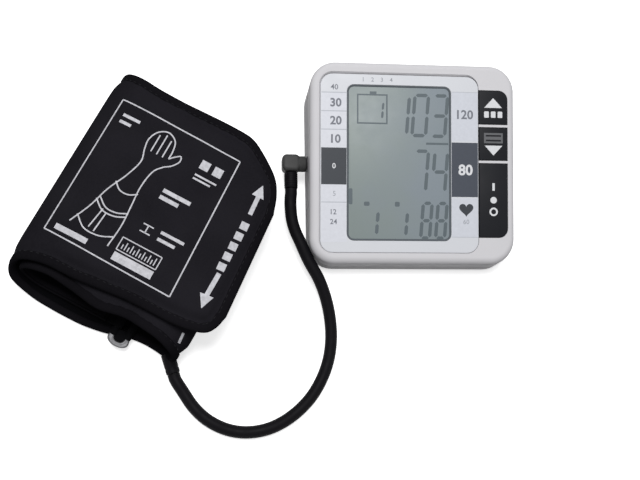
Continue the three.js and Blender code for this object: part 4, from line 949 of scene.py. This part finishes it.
def band_surface(step, columns, rule):
    """Grid of points over the band at a rule's offsets, and each point's s, y and room to the edge."""
    start, end = CLOTH_EDGE, BAND_LENGTH - CLOTH_EDGE
    points = []
    coordinates = []
    shares = [0.5 - 0.5 * math.cos(math.pi * k / columns) for k in range(columns + 1)]
    shares = [0.35 * share + 0.65 * k / columns for k, share in enumerate(shares)]
    for row in row_places(step):
        s = start + (end - start) * row / BAND_LENGTH
        front = inset_edge(FRONT, 1, s, CLOTH_EDGE)
        back = inset_edge(BACK, -1, s, CLOTH_EDGE)
        line = []
        for share in shares:
            y = front + (back - front) * share
            room = max(0.0, min(y - front, back - y, s - start, end - s))
            line.append(band_point(s, y, rule(s, y, room)))
            coordinates.append((s, y, room))
        points.append(line)
    return points, coordinates


def grid_faces(rows, columns):
    return [(i * columns + j, i * columns + j + 1, (i + 1) * columns + j + 1, (i + 1) * columns + j)
            for i in range(rows - 1) for j in range(columns - 1)]


def two_faced(outer, inner):
    """Closed sheet between an outer and an inner grid of points."""
    bm = bmesh.new()
    first, second = ([bm.verts.new(point) for line in grid for point in line] for grid in (outer, inner))
    rows, columns = len(outer), len(outer[0])
    for spots, way in ((first, 1), (second, -1)):
        for corners in grid_faces(rows, columns):
            bm.faces.new([spots[k] for k in corners[::way]])
    last = (rows - 1) * columns
    border = [*range(columns - 1), *range(columns - 1, last, columns),
              *range(last + columns - 1, last, -1), *range(last, 0, -columns)]
    for i, j in zip(border, border[1:] + border[:1]):
        bm.faces.new((first[i], second[i], second[j], first[j]))
    return bm


def store_band(obj, coordinates):
    """Keeps each vertex's place along and across the band, in millimetres, for the weave."""
    attribute = obj.data.attributes.new("band", "FLOAT_VECTOR", "POINT")
    attribute.data.foreach_set("vector", [value for triple in coordinates for value in triple])


# Cloth simulation, in a scene where 100 mm are a metre
CLOTH_UNIT = 0.1
CLOTH_STEPS = 20
LIFT_LIMITS = (-0.5, 2.2)


def billow(grid, freedom):
    """Cloth simulation of the outer cover: hem and hidden runs are held, pressure lifts the slack."""
    rows, columns = len(grid), len(grid[0])
    mesh = bpy.data.meshes.new("cover_cloth")
    mesh.from_pydata([point * CLOTH_UNIT for line in grid for point in line], [], grid_faces(rows, columns))
    mesh.update()
    cloth = linked("cover_cloth", mesh)
    held = cloth.vertex_groups.new(name="held")
    for i, share in enumerate(freedom):
        held.add([i], 0.0 if share > 0.02 else 1.0, "REPLACE")
    modifier = cloth.modifiers.new("cloth", "CLOTH")
    assign(modifier.settings, vertex_group_mass="held", quality=5, mass=0.15, tension_stiffness=12,
           compression_stiffness=12, bending_stiffness=0.4, use_pressure=True, uniform_pressure_force=4,
           shrink_min=-0.045, shrink_max=-0.045)
    modifier.settings.effector_weights.gravity = 0
    assign(modifier.collision_settings, use_collision=False, use_self_collision=False)
    assign(modifier.point_cache, frame_start=1, frame_end=CLOTH_STEPS)
    for step in range(1, CLOTH_STEPS + 1):
        bpy.context.scene.frame_set(step)
    result = cloth.evaluated_get(bpy.context.evaluated_depsgraph_get()).data
    swollen, plain_form = (np.array([vertex.co[:] for vertex in form.vertices]) for form in (result, mesh))
    normals = np.array([vertex.normal[:] for vertex in mesh.vertices])
    bpy.context.scene.frame_set(1)
    bpy.data.objects.remove(cloth)
    middle = np.array([CUFF_CORE]) * CLOTH_UNIT
    outward = np.sign((normals * (plain_form - middle)).sum(1).mean())
    lift = ((swollen - plain_form) * normals).sum(1) * outward / CLOTH_UNIT
    lift = np.clip(lift, *LIFT_LIMITS) * np.array(freedom)
    spots = plain_form / CLOTH_UNIT + normals * outward * lift[:, None]
    return [[Vector(spots[i * columns + j]) for j in range(columns)] for i in range(rows)]


def make_cuff():
    step, columns = ((2.0, 66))
    outer, coordinates = band_surface(step, columns, outer_rule)
    inner, _ = band_surface(step, columns, inner_rule)
    outer = billow(outer, [slack(s, room + CLOTH_EDGE) for s, _, room in coordinates])
    cloth = piece("cuff_cover", two_faced(outer, inner), CUFF, CLOTH, "cuff_set",
                  ["cuff_outer_cloth", "cuff_bladder"], 60)
    store_band(cloth, [(s, y, 0.0) for s, y, _ in coordinates] * 2)
    step, columns = step * 1.5, columns * 2 // 3
    lining_top, places = band_surface(step, columns, lining_rule)
    lining_low, _ = band_surface(step, columns, lambda *place: lining_rule(*place) - CLOTH_THICK)
    lining = two_faced(lining_top, lining_low)
    lining = piece("cuff_inner_cover", lining, CUFF, LINING, "cuff_set", ["cuff_lining"], 60)
    store_band(lining, [(s, y, 0.0) for s, y, _ in places] * 2)
    faces = grid_faces(len(outer), len(outer[0]))
    return BVHTree.FromPolygons([point for line in outer for point in line], faces)


# The hem's section: distance from the edge and height outside; and inside, with what the bladder adds to it
HEM_OUTER = ((0.0, 0.0), (0.3, 0.95), (1.0, 1.6), (2.4, 2.1), (4.0, 2.2), (5.2, 2.0), (5.9, 1.6), (6.4, 0.9))
HEM_INNER = ((5.4, 0.35, 1.1), (4.6, 0.95, 1.05), (3.4, 1.3, 0.9), (2.0, 1.35, 0.6), (0.9, 1.05, 0.3),
             (0.25, 0.6, 0.2))
STITCH_STEP = 3.4
STITCH_PLACE = (5.0, 2.02)
STITCH_PROFILE = [(0, -1.1), (0.16, -0.95), (0.24, -0.5), (0.24, 0.5), (0.16, 0.95), (0, 1.1)]
STITCHES_END = 310


def hem_line(step):
    """Places round the band's edge, each with the way inwards: along the front, the inner end, the back."""
    rows = row_places(step)
    count = round(120 / step)
    front, back = ([(s, smooth_edge(edge, s)) for s in rows] for edge in (FRONT, BACK))

    def end_line(s, y0, y1):
        return [(s, y0 + (y1 - y0) * k / count) for k in range(1, count)]

    loop = front + end_line(BAND_LENGTH, front[-1][1], back[-1][1]) + back[::-1]
    loop += end_line(0.0, back[0][1], front[0][1])
    travelled = 0.0
    places = []
    for i, spot in enumerate(loop):
        before, after = Vector(loop[i - 1]), Vector(loop[(i + 1) % len(loop)])
        travelled += (Vector(spot) - before).length
        along = (after - before).normalized()
        places.append((*spot, Vector((-along.y, along.x)), travelled))
    return places


def hem_point(s, y, inwards, distance, height):
    at = min(BAND_LENGTH, max(0.0, s + inwards.x * distance))
    return band_point(at, y + inwards.y * distance, height)


def make_binding():
    """Hem: a soft roll of the cover's cloth sewn down all round, puckered by its stitches; its cloth is
    coloured darker than the cover's, as painted shade on the edges.
    """
    rings = []
    coordinates = []
    for s, y, inwards, travelled in hem_line(1.3):
        swell = 1 + 0.1 * ripple(travelled / 14, 0.0, 6.0)
        pull = 0.3 * ripple(travelled / 3.2, 0.0, 2.0)
        full = filling(s)
        section = [(distance, height * swell + smoothstep(distance, 2.0, 5.5) * pull)
                   for distance, height in HEM_OUTER]
        section += [(distance, -(height + more * full)) for distance, height, more in HEM_INNER]
        rings.append([hem_point(s, y, inwards, *spot) for spot in section])
        coordinates += [(travelled, k * 0.8, 0.0) for k in range(len(section))]
    hem = loft(rings, closed=True)
    hem = piece("cuff_hem", hem, CUFF, HEM_CLOTH_PAINTED_SHADE, "cuff_set", ["cuff_binding"], 75)
    store_band(hem, coordinates)


def make_stitches():
    """Thread dashes sunk in the hem, along the edges that are seen."""
    stitches = []
    last = -9.0
    for s, y, inwards, travelled in hem_line(1.3):
        if travelled - last < STITCH_STEP or s > STITCHES_END:
            continue
        last = travelled
        place = hem_point(s, y, inwards, *STITCH_PLACE)
        ahead = hem_point(s - inwards.y, y + inwards.x, inwards, *STITCH_PLACE) - place
        if ahead.length < 0.3:
            continue
        turn = ahead.to_track_quat("Z", "Y").to_matrix().to_4x4()
        stitches.append(moved(turned(STITCH_PROFILE, 6), Matrix.Translation(place) @ turn))
    piece("cuff_stitches", join(*stitches), CUFF, THREAD, "cuff_set")


# Prints on the cuff: strips and blocks laid on the cloth
PRINT_STEP = 1.6
PRINT_LIFT = 0.09
PRINT_SINK = -0.12
OVER_CUFF = 90


def on_cloth(tree, spot, lift):
    place, normal, _, _ = tree.ray_cast(Vector((spot.x, spot.y, OVER_CUFF)), Vector((0, 0, -1)))
    return place + (normal if normal.z > 0 else -normal) * lift


def strip(tree, path, start_width, end_width=None):
    """Closed thin strip along a polyline, laid on the cloth; its width can change along the way."""
    end_width = start_width if end_width is None else end_width
    spots = []
    points = [Vector((*p, 0)) for p in path]
    total = sum((b - a).length for a, b in zip(points, points[1:]))
    gone = 0.0
    for a, b in zip(points, points[1:]):
        length = (b - a).length
        count = max(1, math.ceil(length / PRINT_STEP))
        for k in range(count + (b is points[-1])):
            spots.append((a.lerp(b, k / count), (gone + length * k / count) / total))
        gone += length
    columns = max(1, math.ceil(max(start_width, end_width) / PRINT_STEP))
    upper, lower = [], []
    for i, (spot, share) in enumerate(spots):
        along = (spots[min(i + 1, len(spots) - 1)][0] - spots[max(i - 1, 0)][0]).normalized()
        across = Vector((-along.y, along.x, 0)) * (start_width + (end_width - start_width) * share)
        line = [spot + across * (j / columns - 0.5) for j in range(columns + 1)]
        upper.append([on_cloth(tree, p, PRINT_LIFT) for p in line])
        lower.append([on_cloth(tree, p, PRINT_SINK) for p in line])
    return two_faced(upper, lower)


def curve(*points):
    """Smooth polyline through flat points."""
    line = [Vector((*p, 0)) for p in points]
    path, _ = smooth_path(line, sum((b - a).length for a, b in zip(line, line[1:])) / (6 * (len(line) - 1)))
    return [(p.x, p.y) for p in path]


def bar(x0, y0, x1, y1):
    return [(x0, y0), (x1, y1)]


FRAME = ((-55.4, 59.9), (28.7, 59.1), (32.1, -36.4), (-55.2, -35.1))
DIAGRAM = [
    curve((-41, -24), (-35, -10), (-31, 4), (-25, 18), (-22, 30), (-24, 37)),
    curve((-13, -27), (-12, -12), (-13, 2), (-14, 16), (-12, 28), (-8, 33)),
    curve((-24, 37), (-25, 44), (-22, 51), (-16, 54), (-10, 51), (-8, 44), (-8, 39)),
    curve((-8, 33), (-4, 36), (-1, 41), (-2, 44), (-5, 42), (-8, 39)),
    curve((-39, -18), (-31, -24), (-21, -24), (-12, -20)),
    curve((-34, -4), (-27, -9), (-19, -9), (-12, -6)),
    curve((-33, -1.5), (-26, -6.5), (-19, -6.5), (-12, -3.5)),
    curve((-29, 11), (-24, 7), (-18, 7), (-13, 10)),
    bar(-20, 38, -20, 50), bar(-16, 38, -16, 52), bar(-12, 38, -12, 50),
    bar(-29, -22, -27, -8), bar(-25, -23, -24, -9),
]
SCALE_BOX = [
    bar(-10.5, -26, 16.5, -26), bar(16.5, -26, 16.5, -17.5), bar(16.5, -17.5, -10.5, -17.5),
    bar(-10.5, -17.5, -10.5, -26), *[bar(x, -24.5, x, -19.5 if x % 4 else -21.5) for x in range(-8, 15, 2)],
]
# Bars by their two ends and their width, or their widths at both ends
BARS = [
    (-4, 20, 15, 20, 2.6), (-4, 15.4, 9, 15.4, 2.6), (-4, -4, 3, -4, 0.8), (-4, -9, 3, -9, 0.8),
    (-0.5, -4, -0.5, -9, 0.8), (8, -4, 24, -4, 2.0), (8, -8.6, 20, -8.6, 2.0), (-50, -30.6, -28, -30.6, 3.6),
    (8, 46, 14, 46, 6.0), (17, 46, 23, 46, 6.0), (8, 38.4, 23, 38.4, 1.2), (8, 35.8, 20, 35.8, 1.2),
    (-50, 51, -38, 51, 2.0), (-50, 46.4, -42, 46.4, 2.0), (-10.5, -30.2, 16.5, -30.2, 5.4),
    (49.0, 44.6, 48.5, 52.6, 8.0, 0.3), (50.2, 32.3, 49.3, 45.0, 2.8), (51.2, -24.6, 52.2, -33.2, 8.8, 0.3),
    (51.4, -9.4, 51.2, -25.0, 3.0), *[(50.5, 26.6 - 7.3 * k, 50.9, 21.6 - 7.3 * k, 5.2) for k in range(5)],
    (49.0, -50.2, 49.4, -56.8, 1.5),
]


def make_cuff_print(tree):
    lines = [[a, b] for a, b in zip(FRAME, FRAME[1:] + FRAME[:1])]
    lines += [[(x - 3, y) for x, y in path] for path in DIAGRAM]
    parts = [strip(tree, path, 0.85) for path in lines]
    parts += [strip(tree, path, 0.7) for path in SCALE_BOX]
    parts += [strip(tree, bar(*ends), *widths) for *ends, widths in ((*row[:4], row[4:]) for row in BARS)]
    piece("cuff_print", join(*parts), CUFF, PRINT, "cuff_set")


# Pull ring: its hinge bar lies along the cuff at x, and it droops about that bar
WIRE_RADIUS = 1.6
RING_ACROSS = 9.4
RING_BAR = (8.3, 2.5, 9.4)
RING_MIDDLE = 13
RING_BOW_START = 67
RING_FULLER = 0.35
RING_LONGER = 2.4
SLEEVE_BORE = 1.75
SLEEVE_RADIUS = 2.05
SLEEVE_STEP = 1.5
RING_DROP = math.asin((RING_BAR[2] - (BAND_THICK + GAP + WIRE_RADIUS)) / RING_ACROSS)
RING = CUFF @ Matrix.Translation(RING_BAR) @ Matrix.Rotation(RING_DROP, 4, "Y")


def make_ring():
    """The ring, its front end made fuller and longer than the node's."""
    ring = dressed("ring", "pull_ring", WIRE, "ring", 0.0, 60)
    for vertex in ring.data.vertices:
        spot = CUFF.inverted() @ vertex.co
        spot.x += RING_FULLER * (spot.x - RING_MIDDLE) * smoothstep(-spot.y, RING_BOW_START, 71)
        spot.y -= RING_LONGER * smoothstep(-spot.y, RING_BOW_START, 72)
        vertex.co = CUFF @ spot


def make_ring_web():
    """Cloth stretched over the ring's front end between its bars."""
    web = slab(rounded(0.8, RING_ACROSS - 0.8, -74.8, -67.1, 3.2, 5), -1.0, 1.0)
    obj = piece("ring_web", soften(web, 0.5, 3), RING, TAPE, "ring")
    store_band(obj, [tuple(RING.inverted() @ vertex.co) for vertex in obj.data.vertices])


def make_ring_sleeve(name, along, start, end):
    """Cloth sleeve drawn over one of the ring's long bars."""
    outside, inside, coordinates = [], [], []
    sides = 20
    rows = max(4, round((end - start) / SLEEVE_STEP))
    for i in range(rows + 1):
        y = start + (end - start) * i / rows
        open_end = min(1.0, (y - start) / SLEEVE_STEP, (end - y) / SLEEVE_STEP)
        inside.append([(x, y, z) for x, z in circle(SLEEVE_BORE, sides)])
        ring = []
        for x, z in circle(1, sides):
            radius = SLEEVE_RADIUS + 0.35 * open_end + 0.18 * ripple(x, z, y / 5)
            ring.append((x * radius, y, z * radius))
        outside.append(ring)
        coordinates += [(y, k * 0.7, 0.0) for k in range(sides)]
    sleeve = loft(outside + inside[::-1], closed=True)
    place = RING @ Matrix.Translation((along, 0, 0))
    store_band(piece(name, sleeve, place, TAPE, "ring", angle=60), coordinates * 2)


make_cuff_print(make_cuff())
make_binding()
make_stitches()
make_hose(make_plug(), make_collar())
make_boot()
dressed("ring_loop_tab", "ring_tab", TAPE, "cuff_set", 0.2)
dressed("hook_tape", "hook_patch", PILE, "cuff_set", 0.3)
dressed("loop_tape", "loop_patch", PILE, "cuff_set", 0.5)
make_ring()
make_ring_sleeve("ring_sleeve", RING_ACROSS, -71.5, 66)
make_ring_sleeve("ring_sleeve_end", 0, -72.6, -67.06)
make_ring_web()


# Floor and light
FLOOR_HALF = 3
WHITE_LIGHT = (1, 1, 1, 1)


def empty_tree(owner):
    owner.use_nodes = True
    owner.node_tree.nodes.clear()
    return owner.node_tree


def seen_or_lit(tree, lit, seen, kind):
    """What the camera, glossy and transmission rays see, and what lights the object otherwise."""
    path = add_node(tree, "ShaderNodeLightPath").outputs
    seeing = path["Is Camera Ray"]
    for ray in ("Is Glossy Ray", "Is Transmission Ray"):
        seeing = add_node(tree, "ShaderNodeMath", seeing, path[ray], operation="MAXIMUM").outputs[0]
    mix = add_node(tree, "ShaderNodeMixShader", seeing, lit.outputs[0], seen.outputs[0])
    add_node(tree, kind, mix.outputs[0])


def make_stage():
    mesh = bpy.data.meshes.new("floor")
    corners = rectangle(-FLOOR_HALF, FLOOR_HALF, -FLOOR_HALF, FLOOR_HALF)
    mesh.from_pydata([(x, y, 0) for x, y in corners], [], [(0, 1, 2, 3)])
    linked("floor", mesh)
    material = bpy.data.materials.new("floor")
    tree = empty_tree(material)
    pale = add_node(tree, "ShaderNodeBsdfDiffuse", Color=WHITE_LIGHT)
    glow = add_node(tree, "ShaderNodeEmission", Strength=0.6)
    bright = add_node(tree, "ShaderNodeAddShader", pale.outputs[0], glow.outputs[0])
    dim = add_node(tree, "ShaderNodeBsdfDiffuse", Color=(0.14, 0.14, 0.14, 1))
    seen_or_lit(tree, dim, bright, "ShaderNodeOutputMaterial")
    mesh.materials.append(material)


def make_world():
    world = bpy.data.worlds.new("world")
    bpy.context.scene.world = world
    tree = empty_tree(world)
    white = add_node(tree, "ShaderNodeBackground", Color=WHITE_LIGHT, Strength=1.0)
    soft = add_node(tree, "ShaderNodeBackground", Color=(0.99, 0.99, 1, 1), Strength=0.34)
    seen_or_lit(tree, soft, white, "ShaderNodeOutputWorld")


def make_lamp():
    """A round lamp above and behind the monitor, turned to the middle."""
    lamp = linked("key", bpy.data.lights.new("key", "AREA"))
    assign(lamp.data, shape="DISK", size=0.9, energy=32.5)
    lamp.location = (-0.1, 0.45, 2.0)
    lamp.rotation_mode = "QUATERNION"
    lamp.rotation_quaternion = (-lamp.location).to_track_quat("-Z", "Y")


make_stage()
make_world()
make_lamp()
bpy.context.scene.view_settings.view_transform = "Standard"
